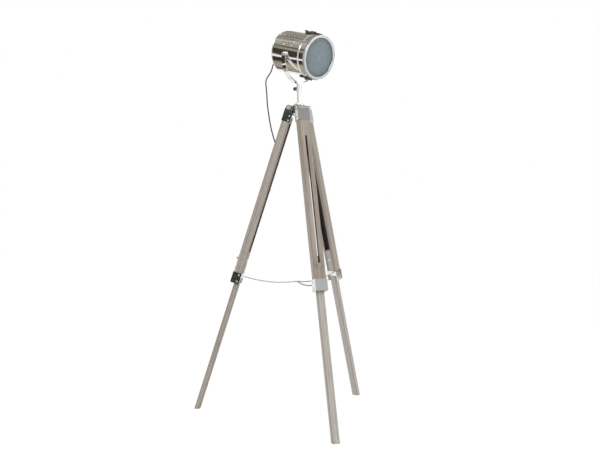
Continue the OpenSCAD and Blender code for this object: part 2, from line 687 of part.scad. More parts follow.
// Gland with a hexagon and a tapered strain relief
gland_l = 26;
module cord_gland() color(black) lamp() drum_frame() translate([0, gland_y, rear_z + 2]) rotate([0, 180, 0])
    difference() {
        union() {
            translate([0, 0, -6]) cylinder(r = 5, h = 8);
            cylinder(r = 8, h = 5, $fn = 6);
            translate([0, 0, 5]) cylinder(r = 6.4, h = 3);
            translate([0, 0, 8]) cylinder(r1 = 5.4, r2 = cord_d / 2 + 0.9, h = gland_l - 8);
            translate([0, 0, -8]) cylinder(r = 7, h = 3.8, $fn = 6);
        }
        translate([0, 0, -9]) cylinder(r = cord_d / 2 + 0.2, h = gland_l + 12);
    }

// Route from the gland to the left leg, chosen by hand; the ends follow the sizes they meet
fall_points = [for (p = [
    [-60, 120.5, 190], [-64, 130.5, 179], [-69, 135.5, 157], [-83, 141, 132], [-89, 142, 115],
    [-89, 136.6, 87], [-89, 128.5, 63], [-90.5, 116, 23], [-88, 96.5, -37], [-83.5, 84.5, -78],
    [-76.5, 73.5, -115], [-72, 67.5, -136]
]) [p.x, p.y, hinge_z + p.z]];
cord_x = -board_w / 2 - cord_d / 2 - 3.2;   // cord centre on the leg's rear side face
cord_y = -3.5;
gland_end = drum_point([0, gland_y, rear_z + 2 - gland_l + 3]);
gland_out = drum_point([0, gland_y, rear_z + 2 - gland_l - 14]);
tie_s = 194;
switch_s = 218;
switch_l = 58;
switch_w = 22;
switch_h = 17;
switch_x = -board_w / 2 - seat - switch_h / 2;
head_route = concat([gland_end, gland_out], fall_points);
leg_route = [
    leg_point([cord_x, cord_y - 1, -tie_s + 17], left), leg_point([cord_x, cord_y, -tie_s], left),
    leg_point([switch_x, cord_y, -switch_s - 1], left)
];
route = concat(head_route, leg_route);

// Catmull-Rom curve through the route, four steps a span
route_steps = 4;
function clamped(pts, i) = pts[max(0, min(len(pts) - 1, i))];
function spline_at(pts, i, t) =
    let (a = clamped(pts, i - 1), b = pts[i], c = clamped(pts, i + 1), d = clamped(pts, i + 2))
    0.5 * (2 * b + (c - a) * t + (2 * a - 5 * b + 4 * c - d) * t * t + (3 * b - a - 3 * c + d) * t * t * t);
function smooth(pts, steps) = concat(
    [for (i = [0:len(pts) - 2], k = [0:steps - 1]) spline_at(pts, i, k / steps)], [pts[len(pts) - 1]]);
function slice(pts, a, b) = [for (i = [a:b]) pts[i]];
curve = smooth(route, route_steps);
function tangent(pts, i) =
    let (v = clamped(pts, i + 1) - clamped(pts, i - 1)) v / norm(v);

// A ring of points round pts[i], square to the curve, with its first point towards [0, 0, 1] x tangent
function ring(pts, i, r, sides) =
    let (t = tangent(pts, i), u0 = cross([0.31, 0.18, 0.93], t), u = u0 / norm(u0), v = cross(t, u))
    [for (k = [0:sides - 1]) pts[i] + r * (cos(360 * k / sides) * u + sin(360 * k / sides) * v)];

// A closed tube along pts[a] to pts[b]
module tube(pts, a, b, r, sides) {
    rings = [for (i = [a:b]) ring(pts, i, r, sides)];
    count = b - a + 1;
    walls = [for (i = [0:count - 2], k = [0:sides - 1])
        let (p = i * sides, q = p + sides, n = (k + 1) % sides) each [[p + k, q + k, p + n], [p + n, q + k, q + n]]];
    low = [for (k = [1:sides - 2]) [0, k, k + 1]];
    top = [for (k = [1:sides - 2]) [(count - 1) * sides, (count - 1) * sides + k + 1, (count - 1) * sides + k]];
    polyhedron([for (g = rings) each g], concat(walls, low, top));
}

tilt_end = 5 * route_steps;       // the cord's stretches end at these steps of the curve
pan_end = 10 * route_steps;
fold_end = (len(head_route) + 1) * route_steps;

module cord_tilt() color(black) lamp() tube(curve, 0, tilt_end, cord_d / 2, 8);
module cord_pan() color(black) lamp() tube(curve, tilt_end, pan_end, cord_d / 2, 8);
module cord_fold() color(black) lamp() tube(curve, pan_end, fold_end, cord_d / 2, 8);
module cord_leg() color(black) lamp() tube(curve, fold_end, len(curve) - 1, cord_d / 2, 8);

// Hank on the leg: an unbroken oval winding, drawn in at its waist, in leg coordinates.
// A turn runs down one side and up the other; each turn lies one step further out.
hank_s = 372;
hank_step = cord_d + 0.5;
hank_x = -board_w / 2 - 4.8 - cord_d / 2;
hank_end_r = hank_w / 2;
waist = cord_d / 2 + 0.4;
function hank_half(s) =
    let (straight = hank_l / 2 - hank_end_r, a = abs(s))
    a > straight ? hank_end_r * sqrt(max(0, 1 - pow((a - straight) / hank_end_r, 2)))
                 : hank_end_r - (hank_end_r - waist) * pow(cos(90 * a / straight), 2);
function hank_point(t) =
    let (s = -hank_l / 2 * cos(t))
    [hank_x - hank_step * t / 360, cord_y + (sin(t) >= 0 ? 1 : -1) * hank_half(s), -hank_s - s];
hank_loops = [for (t = [75:15:hank_turns * 360 + 90]) hank_point(t)];
hank_out = hank_x - hank_step * (hank_turns + 0.75);
lead_in = [
    [switch_x, cord_y, -switch_s - switch_l + 1], [switch_x + 0.3, cord_y, -285], [hank_x - 0.6, cord_y + 1, -300],
    [hank_x - 0.4, cord_y + 5, -315], [hank_x - 0.5, cord_y + 8, -330], [hank_x - 0.8, cord_y + 6, -345]
];
plug_s = 474;
plug_x = -board_w / 2 - seat - 7;
tail = [
    [hank_out + 1.5, cord_y + 4.5, -385], [hank_out - 0.5, cord_y + 6, -400], [hank_out - 1, cord_y + 5, -418],
    [hank_out + 1, cord_y + 3, -432], [hank_out + 7, cord_y + 1, -445], [plug_x - 5, cord_y, -459],
    [plug_x, cord_y, -plug_s + 1]
];
hank_curve = concat(lead_in, hank_loops, tail);
function gap_between(pts, away) = min([for (i = [0:len(pts) - 1 - away], j = [i + away:len(pts) - 1])
    norm(pts[i] - pts[j])]);
echo(hank_gap = gap_between(hank_curve, 8) - cord_d);

module cord_hank() color(black) lamp() leg_frame(left) tube(hank_curve, 0, len(hank_curve) - 1, cord_d / 2, 6);

// Two straps screwed to the leg's side: a small one for the cord, a large one round the hank's waist
module cord_ties() color(black) lamp() leg_frame(left) {
    tie(tie_s, cord_x, cord_d / 2 + 0.5, cord_d / 2 + 0.5);
    tie(hank_s, (hank_x + hank_out) / 2, (hank_x - hank_out) / 2 + cord_d / 2 + 1, 2 * cord_d + 0.6);
}

// A strap loop 10 mm tall, its opening half_x by half_y about [x, cord_y], on a pad with a screw head
module tie(s, x, half_x, half_y) translate([0, cord_y, -s - 5]) {
    difference() {
        translate([x - half_x - 1.2, -half_y - 1.2, 0]) cube([2 * half_x + 2.4, 2 * half_y + 2.4, 10]);
        translate([x - half_x, -half_y, -1]) cube([2 * half_x, 2 * half_y, 12]);
    }
    translate([x + half_x + 1.2 - eps, -half_y - 1.2, 0])
        cube([-board_w / 2 - seat / 2 - x - half_x - 1.2 + eps, 2 * half_y + 2.4, 10]);
}

// In-line switch: a shell with tapered ends and a well for the rocker
module switch_body() color(black) lamp() leg_frame(left) translate([switch_x, cord_y, -switch_s - switch_l / 2])
    difference() {
        rotate([0, -90, 0]) translate([0, 0, -switch_h / 2]) linear_extrude(switch_h) {
            rounded_rect(switch_l - 14, switch_w, 4);
            polygon([[-switch_l / 2, -5], [-20, -switch_w / 2 + 1], [20, -switch_w / 2 + 1], [switch_l / 2, -5],
                     [switch_l / 2, 5], [20, switch_w / 2 - 1], [-20, switch_w / 2 - 1], [-switch_l / 2, 5]]);
        }
        translate([-switch_h / 2 - 1, -6.5, -11]) cube([9, 13, 22]);
        for (z = [-switch_l / 2 - 1, switch_l / 2 - 1.2]) translate([0, 0, z]) cylinder(r = cord_d / 2 + 0.1, h = 2.2);
    }

// Rocker: turns about Y, with one end proud
rocker_tilt = 8;
module switch_rocker() color([0.2, 0.2, 0.21]) lamp() leg_frame(left)
    translate([switch_x - switch_h / 2 + 1.5, cord_y, -switch_s - switch_l / 2]) rotate([0, rocker_tilt, 0])
        difference() {
            union() {
                translate([-2.6, -6, -10]) cube([4.4, 12, 20]);
                rod_y(2.4, -6, 6);
            }
            translate([-22.2, 0, 0]) rod_y(20.5, -7, 7);
        }

// Flat two-pin plug: hexagonal body, two round pins with sleeves
module plug() color(black) lamp() leg_frame(left) translate([plug_x, cord_y, -plug_s]) rotate([180, 0, 0]) {
    rotate([0, -90, 0]) translate([0, 0, -6.8]) linear_extrude(13.6) polygon([
        [0, -5], [8, -7.5], [20, -17.5], [28, -17.5], [36, -11.5],
        [36, 11.5], [28, 17.5], [20, 17.5], [8, 7.5], [0, 5]
    ]);
    for (y = [-9.3, 9.3]) translate([0, y, 35]) {
        cylinder(r = 1.95, h = 11);
        cylinder(r = 2, h = 17.5);
        translate([0, 0, 17.5]) sphere(2);
    }
}

// ---------------------------------------------------------------- leg and chain nodes

module front_leg_cap() leg_cap(front);
module left_leg_cap() leg_cap(left);
module right_leg_cap() leg_cap(right);
module front_hinge_bolt() hinge_bolt(front);
module left_hinge_bolt() hinge_bolt(left);
module right_hinge_bolt() hinge_bolt(right);
module front_upper_leg() upper_leg(front);
module left_upper_leg() upper_leg(left);
module right_upper_leg() upper_leg(right);
module front_leg_bracket() leg_bracket(front);
module left_leg_bracket() leg_bracket(left);
module right_leg_bracket() leg_bracket(right);
module front_leg_screws() leg_screws(front);
module left_leg_screws() leg_screws(left);
module right_leg_screws() leg_screws(right);
module front_lower_leg() lower_leg(front);
module left_lower_leg() lower_leg(left);
module right_lower_leg() lower_leg(right);
module front_clamp_bolt() clamp_bolt(front);
module left_clamp_bolt() clamp_bolt(left);
module right_clamp_bolt() clamp_bolt(right);
module front_wing_nut() wing_nut(front);
module left_wing_nut() wing_nut(left);
module right_wing_nut() wing_nut(right);
module front_chain() chain_run(front);
module left_chain() chain_run(left);
module right_chain() chain_run(right);

hub();
stem();
hub_screws();
front_leg_cap();
front_hinge_bolt();
front_upper_leg();
front_leg_bracket();
front_leg_screws();
front_lower_leg();
front_clamp_bolt();
front_wing_nut();
left_leg_cap();
left_hinge_bolt();
left_upper_leg();
left_leg_bracket();
left_leg_screws();
left_lower_leg();
left_clamp_bolt();
left_wing_nut();
right_leg_cap();
right_hinge_bolt();
right_upper_leg();
right_leg_bracket();
right_leg_screws();
right_lower_leg();
right_clamp_bolt();
right_wing_nut();
front_chain();
left_chain();
right_chain();
chain_ring();
yoke();
yoke_socket();
stem_thumbscrew();
drum();
rear_cover();
pivot_bolts();
reflector();
lamp_holder();
bulb();
latch_base();
hinge_base();
hinge_pin();
cord_gland();
cord_tilt();
front_collar();
bezel();
lens();
hinge_leaf();
latch_keeper();
latch_lever();
latch_bail();
cord_pan();
cord_fold();
cord_leg();
cord_hank();
cord_ties();
switch_body();
switch_rocker();
plug();
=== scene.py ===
# %% [markdown]
# # A tripod spotlight lamp
# The solids of the lamp come packed from its CAD source. They stay where they are and get their
# finishes here. What a CAD solid can't show well, such as a soft cord or a fine chain, is made again
# as a smooth surface. Every such surface is worked out with numpy as a grid of points, because one
# formula then gives the whole piece and can be checked by itself.

# %% Load the frame
import math
import bpy
import numpy as np
from mathutils import Matrix, Vector


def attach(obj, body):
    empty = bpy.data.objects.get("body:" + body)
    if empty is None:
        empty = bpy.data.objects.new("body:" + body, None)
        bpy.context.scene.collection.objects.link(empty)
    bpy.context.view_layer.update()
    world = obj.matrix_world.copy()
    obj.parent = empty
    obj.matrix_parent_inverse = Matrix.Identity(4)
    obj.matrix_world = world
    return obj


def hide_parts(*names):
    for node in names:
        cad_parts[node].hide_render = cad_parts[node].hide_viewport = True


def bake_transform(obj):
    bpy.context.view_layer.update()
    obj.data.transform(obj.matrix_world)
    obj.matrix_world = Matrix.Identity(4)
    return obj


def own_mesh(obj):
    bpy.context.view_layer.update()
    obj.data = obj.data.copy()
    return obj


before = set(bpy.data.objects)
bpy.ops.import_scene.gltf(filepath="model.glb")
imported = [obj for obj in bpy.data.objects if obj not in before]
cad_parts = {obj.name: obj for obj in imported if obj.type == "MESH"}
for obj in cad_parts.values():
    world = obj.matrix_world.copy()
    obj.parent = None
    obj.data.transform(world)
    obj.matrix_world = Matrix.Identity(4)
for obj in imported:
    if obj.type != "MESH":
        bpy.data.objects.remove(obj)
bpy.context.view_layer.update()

# %% [markdown]
# ## Where things are
# The lamp's legs and its head lean, so their pieces are easier to describe in frames of their own.
# These helpers turn points from such a frame into the lamp's. Sizes are in millimetres until a mesh
# is made, as they are in the CAD source.

# %% Frames of the legs and the head
MM = 0.001
FLOOR_TO_HINGE, HINGE_OUT, LEAN = 1199.0, 35.0, math.radians(17.6)
HEAD_HEIGHT, HEAD_TURN, HEAD_TILT, HEAD_DROP = 1398.5, math.radians(26.3), math.radians(14.0), 10.0
AXIS_Y = 97.9186
TURNS = {"front": 0.0, "left": math.radians(-120), "right": math.radians(120)}
FOLD = math.radians(13.5)


def turned(points, axis, angle):
    """Points turned about a coordinate axis (0, 1 or 2) by an angle: the right-hand rule."""
    a, b = [(1, 2), (2, 0), (0, 1)][axis]
    out = np.array(points, float)
    out[..., a] = np.cos(angle) * points[..., a] - np.sin(angle) * points[..., b]
    out[..., b] = np.sin(angle) * points[..., a] + np.cos(angle) * points[..., b]
    return out


def from_leg(points, leg, lean=LEAN):
    """Leg frame to lamp frame: lean about X, move out to the hinge, turn about the centre line."""
    p = turned(np.asarray(points, float), 0, -lean) + [0, -HINGE_OUT, FLOOR_TO_HINGE]
    return turned(p, 2, TURNS[leg]) + [0, AXIS_Y, 0]


def from_drum(points):
    """Drum frame (Z forwards along the drum, Y up) to lamp frame: stand up, tilt, turn, lift."""
    p = np.asarray(points, float)
    p = np.stack([p[..., 0], -p[..., 2], p[..., 1] + HEAD_DROP], -1)
    return turned(turned(p, 0, HEAD_TILT), 2, HEAD_TURN) + [0, AXIS_Y, HEAD_HEIGHT]


print("hinge of the front leg", from_leg(np.zeros(3), "front"))

# %% [markdown]
# ## Camera
# The photograph was taken from a little over three metres away with a normal lens, aimed a few
# degrees down from the height of the leg hinges. The numbers come from fitting the three feet and
# the hinges to their places in the picture.

# %% Camera
CAMERA_TURN, CAMERA_DROP, CAMERA_ROLL = math.radians(20.17), math.radians(2.7), math.radians(0.5)
camera = bpy.data.objects.new("camera", bpy.data.cameras.new("camera"))
camera.data.sensor_width = 36.0
camera.data.lens = 48.5
camera.data.clip_end = 60.0
camera.location = (-1.080, -2.967 + AXIS_Y * MM, 0.863)
look = (Matrix.Rotation(-CAMERA_TURN, 3, "Z") @ Matrix.Rotation(math.pi / 2 - CAMERA_DROP, 3, "X")
        @ Matrix.Rotation(CAMERA_ROLL, 3, "Z"))
camera.rotation_euler = look.to_euler()
bpy.context.scene.collection.objects.link(camera)
bpy.context.scene.camera = camera

# %% [markdown]
# ## Grids of points become meshes
# Most pieces are a ring of points carried along a path. A grid holds one row of points for each
# step of the path. Neighbouring rows are joined by quads, and the end rows are closed by flat caps.

# %% Mesh helpers
def outwards(points, faces):
    """Faces with their order reversed where the enclosed volume, a sum of wedges, is negative."""
    volume = 0.0
    for corners in {len(f) for f in faces}:
        f = points[np.array([x for x in faces if len(x) == corners])]
        for k in range(1, corners - 1):
            volume += np.einsum("ij,ij->i", f[:, 0], np.cross(f[:, k], f[:, k + 1])).sum()
    return faces if volume > 0 else [f[::-1] for f in faces]


def grid_faces(rows, cols, wrap_rows=False, start=0):
    """Quads between neighbouring points of a grid whose columns close into a ring."""
    i, j = np.meshgrid(np.arange(rows if wrap_rows else rows - 1), np.arange(cols), indexing="ij")
    a, b = i * cols + j, i * cols + (j + 1) % cols
    down = cols * rows
    quads = np.stack([a, b, (b + cols) % down, (a + cols) % down], -1).reshape(-1, 4) + start
    return [tuple(q) for q in quads.tolist()]


def piece(name, parts, material, crease=35.0):
    """A mesh object from one or more grids of points in lamp millimetres: (grid, wrap_rows)."""
    points, faces, count = [], [], 0
    for grid, wrap_rows in parts:
        rows, cols = grid.shape[:2]
        flat = grid.reshape(-1, 3)
        own = grid_faces(rows, cols, wrap_rows)
        if not wrap_rows:
            own += [tuple(range(cols)), tuple(range((rows - 1) * cols, rows * cols))[::-1]]
        own = outwards(flat, own)
        faces += [tuple(k + count for k in f) for f in own]
        points.append(flat)
        count += len(flat)
    mesh = bpy.data.meshes.new(name)
    mesh.from_pydata((np.concatenate(points) * MM).tolist(), [], faces)
    mesh.shade_smooth()
    mesh.set_sharp_from_angle(angle=math.radians(crease))
    obj = bpy.data.objects.new(name, mesh)
    bpy.context.scene.collection.objects.link(obj)
    mesh.materials.append(material)
    return obj


def sweep(path, radius, sides=14, flatten=1.0):
    """Rings of points round a path: at each point t is the path's direction, u is square to it and
    to a fixed slanting line, v is square to both, and the ring is radius (cos a u + sin a v)."""
    path = np.asarray(path, float)
    t = np.gradient(path, axis=0)
    t /= np.linalg.norm(t, axis=1, keepdims=True)
    u = np.cross(np.array([0.31, 0.18, 0.93]), t)
    u /= np.linalg.norm(u, axis=1, keepdims=True)
    v = np.cross(t, u)
    a = np.linspace(0, 2 * np.pi, sides, endpoint=False)
    r = np.broadcast_to(np.asarray(radius, float), len(path))[:, None, None]
    ring = np.cos(a)[None, :, None] * u[:, None] + flatten * np.sin(a)[None, :, None] * v[:, None]
    return path[:, None] + r * ring


def lathe(profile, sides=40):
    """A grid from (radius, height) pairs: each pair is turned about Z into a ring."""
    profile = np.asarray(profile, float)
    a = np.linspace(0, 2 * np.pi, sides, endpoint=False)
    return np.stack([profile[:, :1] * np.cos(a), profile[:, :1] * np.sin(a),
                     np.repeat(profile[:, 1:], sides, 1)], -1)


def smooth_line(points, steps):
    """Catmull-Rom curve through the points: each span blends its two ends and their neighbours."""
    p = np.asarray(points, float)
    a, b, c, d = np.vstack([p[:1], p[:-2]]), p[:-1], p[1:], np.vstack([p[2:], p[-1:]])
    t = np.linspace(0, 1, steps, endpoint=False)[None, :, None]
    a, b, c, d = (q[:, None] for q in (a, b, c, d))
    curve = 0.5 * (2 * b + (c - a) * t + (2 * a - 5 * b + 4 * c - d) * t ** 2
                   + (3 * b - a - 3 * c + d) * t ** 3)
    return np.vstack([curve.reshape(-1, 3), p[-1:]])


def length_of(path):
    """Sum of the steps along a path."""
    return float(np.linalg.norm(np.diff(path, axis=0), axis=1).sum())

# %% [markdown]
# ## Finishes
# Each finish is a Principled shader fed by a small node group. The groups put out colour, roughness
# and height, so that one group can serve several materials with other values.

# %% Shader helpers
SURFACE = {"Color": "Color", "Roughness": "Float", "Height": "Float"}


def new_group(name, **inputs):
    """An empty group with a Vector and the named inputs, each a number or a colour, and what every
    surface here gives out: colour, roughness and height."""
    group = bpy.data.node_groups.new(name, "ShaderNodeTree")
    new_socket = group.interface.new_socket
    new_socket("Vector", in_out="INPUT", socket_type="NodeSocketVector")
    for label, value in inputs.items():
        kind = "Color" if isinstance(value, tuple) else "Float"
        new_socket(label, in_out="INPUT", socket_type="NodeSocket" + kind).default_value = value
    for label, kind in SURFACE.items():
        new_socket(label, in_out="OUTPUT", socket_type="NodeSocket" + kind)
    return group, group.nodes.new("NodeGroupInput")


def give_out(group, *sockets):
    """Links a group's colour, roughness and height to its outputs, and returns the group."""
    result = group.nodes.new("NodeGroupOutput")
    for socket, label in zip(sockets, SURFACE):
        group.links.new(socket, result.inputs[label])
    return group


def add(tree, kind, links=(), **settings):
    """A node with its settings, and links given as (output socket, input name or number)."""
    node = tree.nodes.new("ShaderNode" + kind)
    for key, value in settings.items():
        setattr(node, key, value)
    for source, target in links:
        tree.links.new(source, node.inputs[target])
    return node


def math_node(tree, operation, a, b=0.0, clamp=False):
    """One sum of two values, each a socket or a number."""
    node = add(tree, "Math", operation=operation, use_clamp=clamp)
    for k, value in enumerate((a, b)):
        if isinstance(value, (int, float)):
            node.inputs[k].default_value = value
        else:
            tree.links.new(value, node.inputs[k])
    return node.outputs[0]


def ramp(tree, value, stops):
    """A colour ramp with (position, colour) stops."""
    node = add(tree, "ValToRGB", [(value, 0)])
    band = node.color_ramp
    while len(band.elements) < len(stops):
        band.elements.new(0.5)
    for element, (place, colour) in zip(band.elements, stops):
        element.position = place
        element.color = (*colour, 1.0) if len(colour) == 3 else colour
    return node.outputs[0]


def stretched_noise(tree, vector, scale, detail=4.0, rough=0.55, distortion=0.0):
    """Noise of a vector whose axes are scaled one by one, so that spots become streaks."""
    place = add(tree, "Mapping", [(vector, 0)])
    place.inputs["Scale"].default_value = scale
    noise = add(tree, "TexNoise", [(place.outputs[0], 0)])
    noise.inputs["Scale"].default_value = 1.0
    noise.inputs["Detail"].default_value = detail
    noise.inputs["Roughness"].default_value = rough
    noise.inputs["Distortion"].default_value = distortion
    return noise.outputs[0]


def mix_colour(tree, factor, a, b, blend="MIX"):
    """Two colours, each a socket or a tuple, mixed by a factor."""
    node = add(tree, "Mix", data_type="RGBA", blend_type=blend)
    for value, k in ((factor, 0), (a, 6), (b, 7)):
        if isinstance(value, tuple):
            node.inputs[k].default_value = (*value, 1.0)
        elif isinstance(value, float):
            node.inputs[k].default_value = value
        else:
            tree.links.new(value, node.inputs[k])
    return node.outputs[2]


def finish_with(name, group, vector=None, bump=0.0, distance=0.001, **sockets):
    """A Principled material fed by a group; vector builds the group's coordinates from a tree."""
    material = bpy.data.materials.new(name)
    material.use_nodes = True
    tree = material.node_tree
    shader = tree.nodes["Principled BSDF"]
    for key, value in sockets.items():
        shader.inputs[key.replace("_", " ")].default_value = value
    place = add(tree, "TexCoord")
    source = add(tree, "Group", node_tree=group)
    tree.links.new(vector(tree, place) if vector else place.outputs["Object"], source.inputs["Vector"])
    for label, target in (("Color", "Base Color"), ("Roughness", "Roughness")):
        tree.links.new(source.outputs[label], shader.inputs[target])
    if bump:
        relief = add(tree, "Bump", [(source.outputs["Height"], "Height")])
        relief.inputs["Strength"].default_value = bump
        relief.inputs["Distance"].default_value = distance
        tree.links.new(relief.outputs[0], shader.inputs["Normal"])
    return material, source


def moved_back(tree, socket, steps):
    """Coordinates passed through one Mapping node for each (location, rotation) step."""
    for location, rotation in steps:
        step = add(tree, "Mapping", [(socket, 0)])
        step.inputs["Location"].default_value = location
        step.inputs["Rotation"].default_value = rotation
        socket = step.outputs[0]
    return socket


def dress(node, material):
    """Puts a material on a CAD node."""
    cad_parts[node].data.materials.clear()
    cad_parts[node].data.materials.append(material)

# %% [markdown]
# ### Washed wood
# The boards are open-grained softwood with a grey-brown wash that has stayed pale on the flats and
# dark in the pores and along the edges. Long streaks come from noise that is stretched along the
# leg, growth lines from rings round a line beside the board, and pores from very fine streaks.

# %% Washed wood
def make_wood_group():
    """Colour is a ramp of streaks, darkened by growth lines, pores, edges and painted shade inside the
    slot and the channel.
    """
    group, source = new_group("washed_wood", Warmth=0.5, Wash=0.0, Edge=0.0, Inside=0.0)
    v = source.outputs["Vector"]
    streak = stretched_noise(group, v, (95, 95, 2.6), 7.0, 0.62, 0.35)
    broad = stretched_noise(group, v, (26, 26, 1.1), 3.0, 0.5)
    fine = stretched_noise(group, v, (620, 620, 9.0), 3.0, 0.6)
    wobble = stretched_noise(group, v, (9, 9, 2.2), 2.0, 0.5)
    away = add(group, "Mapping", [(v, 0)])
    away.inputs["Location"].default_value = (0.055, 0.031, 0)
    ringed = add(group, "VectorMath", [(away.outputs[0], 0)], operation="MULTIPLY")
    ringed.inputs[1].default_value = (1, 1, 0.06)
    distance = add(group, "VectorMath", [(ringed.outputs[0], 0)], operation="LENGTH").outputs["Value"]
    shifted = math_node(group, "ADD", distance, math_node(group, "MULTIPLY", wobble, 0.021))
    lines = math_node(group, "SINE", math_node(group, "MULTIPLY", shifted, 1250.0))
    lines = math_node(group, "ADD", math_node(group, "MULTIPLY", lines, 0.5), 0.5)
    lines = math_node(group, "POWER", lines, 2.5)
    pores = math_node(group, "MULTIPLY", math_node(group, "SUBTRACT", fine, 0.56, True), 5.0, True)
    tone = math_node(group, "ADD", math_node(group, "MULTIPLY", streak, 0.65),
                     math_node(group, "MULTIPLY", broad, 0.35))
    cool = ramp(group, tone, [(0.30, (0.215, 0.185, 0.155)), (0.45, (0.365, 0.330, 0.285)),
                              (0.56, (0.475, 0.445, 0.395)), (0.70, (0.60, 0.575, 0.525))])
    warm = ramp(group, tone, [(0.30, (0.150, 0.096, 0.068)), (0.44, (0.285, 0.215, 0.168)),
                              (0.56, (0.395, 0.325, 0.270)), (0.70, (0.53, 0.465, 0.40))])
    base = mix_colour(group, source.outputs["Warmth"], cool, warm)
    base = mix_colour(group, source.outputs["Wash"], base, (0.60, 0.58, 0.55))
    # The last mask is painted shade: near black inside the slot and the channel, where the recess lies
    # in shadow.
    for mask, strength, colour in ((lines, 0.26, (0.16, 0.11, 0.08)),
                                   (pores, 0.55, (0.10, 0.075, 0.06)),
                                   (source.outputs["Edge"], 0.65, (0.165, 0.115, 0.085)),
                                   (source.outputs["Inside"], 0.88, (0.018, 0.014, 0.012))):
        base = mix_colour(group, math_node(group, "MULTIPLY", mask, strength), base, colour)
    rough = math_node(group, "ADD", math_node(group, "MULTIPLY", tone, 0.25), 0.50)
    height = math_node(group, "SUBTRACT", math_node(group, "MULTIPLY", tone, 0.6),
                       math_node(group, "ADD", math_node(group, "MULTIPLY", pores, 0.6),
                                 math_node(group, "MULTIPLY", lines, 0.25)))
    return give_out(group, base, rough, height)


wood_group = make_wood_group()


def leg_vector(leg, shift):
    """Object coordinates turned into a leg's own: centred, turned back, lowered, stood upright."""
    steps = [((0, -AXIS_Y * MM, 0), (0, 0, 0)), ((0, 0, 0), (0, 0, -TURNS[leg])),
             ((0, HINGE_OUT * MM, -FLOOR_TO_HINGE * MM), (0, 0, 0)),
             ((0, 0, 0), (LEAN, 0, 0)), (shift, (0, 0, 0))]
    return lambda tree, place: moved_back(tree, place.outputs["Object"], steps)

# %% [markdown]
# ### Boards cut from it
# Each board gets its own piece of the grain, its own warmth and its own wash. Two masks darken it: one
# along the long edges, where the wash has worn off, and one inside the slot and the channel, which is
# painted shade: near black, where the deep, narrow recess lies in shadow. Both come from how far a
# point is from the middle of the board.

# %% Boards
UPPER_BOARD = {"half_x": 0.022, "centre_y": 0.0044, "half_y": 0.016}
LOWER_BOARD = {"half_x": 0.013, "centre_y": 0.0106, "half_y": 0.0095}
EDGE, CHANNEL_HALF, SKIN = 0.0035, 0.0135, 0.0004


def off_centre(tree, vector, board, shift):
    """|x| and |y| from the middle planes of a board whose grain was moved by shift."""
    split = add(tree, "SeparateXYZ", [(vector, 0)])
    x = math_node(tree, "SUBTRACT", split.outputs[0], shift[0])
    y = math_node(tree, "SUBTRACT", split.outputs[1], shift[1] + board["centre_y"])
    return math_node(tree, "ABSOLUTE", x), math_node(tree, "ABSOLUTE", y)


def edge_mask(tree, vector, board, shift):
    """1 at the long edges of a board, 0 on its faces: how near a point is to both side planes."""
    near = [math_node(tree, "DIVIDE", math_node(tree, "SUBTRACT", away, board[half] - EDGE), EDGE, True)
            for away, half in zip(off_centre(tree, vector, board, shift), ("half_x", "half_y"))]
    return math_node(tree, "MULTIPLY", *near)


def painted_slot_shade_mask(tree, vector, board, shift):
    """Painted shade: 1 within the slot and the channel, where the recess lies in shadow, 0 on the four
    outer faces: |x| and |y| both below limits.
    """
    x, y = off_centre(tree, vector, board, shift)
    return math_node(tree, "MULTIPLY", math_node(tree, "LESS_THAN", x, CHANNEL_HALF),
                     math_node(tree, "LESS_THAN", y, board["half_y"] - SKIN))


def wood_material(name, leg, board, warmth, wash, shift, grooved=False):
    """Wood for one board, with its own cut from the grain; a grooved board gets painted shade, near
    black, inside its slot and channel.
    """
    material, source = finish_with(name, wood_group, leg_vector(leg, shift), bump=0.35, distance=0.0006)
    tree = material.node_tree
    tree.nodes["Principled BSDF"].inputs["Specular IOR Level"].default_value = 0.3
    source.inputs["Warmth"].default_value = warmth
    source.inputs["Wash"].default_value = wash
    moved = source.inputs["Vector"].links[0].from_socket
    tree.links.new(edge_mask(tree, moved, board, shift), source.inputs["Edge"])
    # Painted shade inside the slot and the channel.
    if grooved:
        tree.links.new(painted_slot_shade_mask(tree, moved, board, shift), source.inputs["Inside"])
    return material


# Boards differ: warmth and wash of the upper board, then wash of the lower leg
BOARDS = {"front": (0.60, 0.04, 0.46), "left": (0.42, 0.26, 0.04), "right": (0.50, 0.20, 0.74)}
LOWER_WARMTH = 0.22
for number, (leg, (warmth, wash, lower_wash)) in enumerate(BOARDS.items()):
    upper_cut = (0.31 * number, 0.17 * number, 0.7 * number)
    lower_cut = (0.5 + 0.2 * number, 0.9, 1.3 * number)
    dress(f"{leg}_upper_leg", wood_material(f"upper_wood_{leg}", leg, UPPER_BOARD, warmth, wash,
                                            upper_cut, grooved=True))
    dress(f"{leg}_lower_leg", wood_material(f"lower_wood_{leg}", leg, LOWER_BOARD, LOWER_WARMTH,
                                            lower_wash, lower_cut))
print("boards", 2 * len(BOARDS))

# %% [markdown]
# ### Plated and satin metal
# Chrome is a mirror, so most of its look is what stands round it. The material adds what handling
# leaves: faint hairlines, and patches that are a little duller. Fixings get the same group with
# more haze, and the bezel with a much duller, paler coat.

# %% Metals
def make_metal_group():
    """Roughness is a floor value plus patches and hairlines; height is the hairlines alone."""
    group, source = new_group("handled_metal", Tint=(0.8, 0.8, 0.8, 1), Dull=0.08, Patches=0.06)
    v = source.outputs["Vector"]
    patch = stretched_noise(group, v, (22, 22, 22), 3.0, 0.55)
    hair = stretched_noise(group, v, (900, 900, 60), 2.0, 0.5, 0.2)
    spread = math_node(group, "MULTIPLY", patch, source.outputs["Patches"])
    rough = math_node(group, "ADD", source.outputs["Dull"], spread)
    rough = math_node(group, "ADD", rough, math_node(group, "MULTIPLY", hair, 0.02))
    shade = mix_colour(group, math_node(group, "MULTIPLY", patch, 0.16), source.outputs["Tint"],
                       (0.55, 0.53, 0.50), "MULTIPLY")
    return give_out(group, shade, rough, hair)


metal_group = make_metal_group()


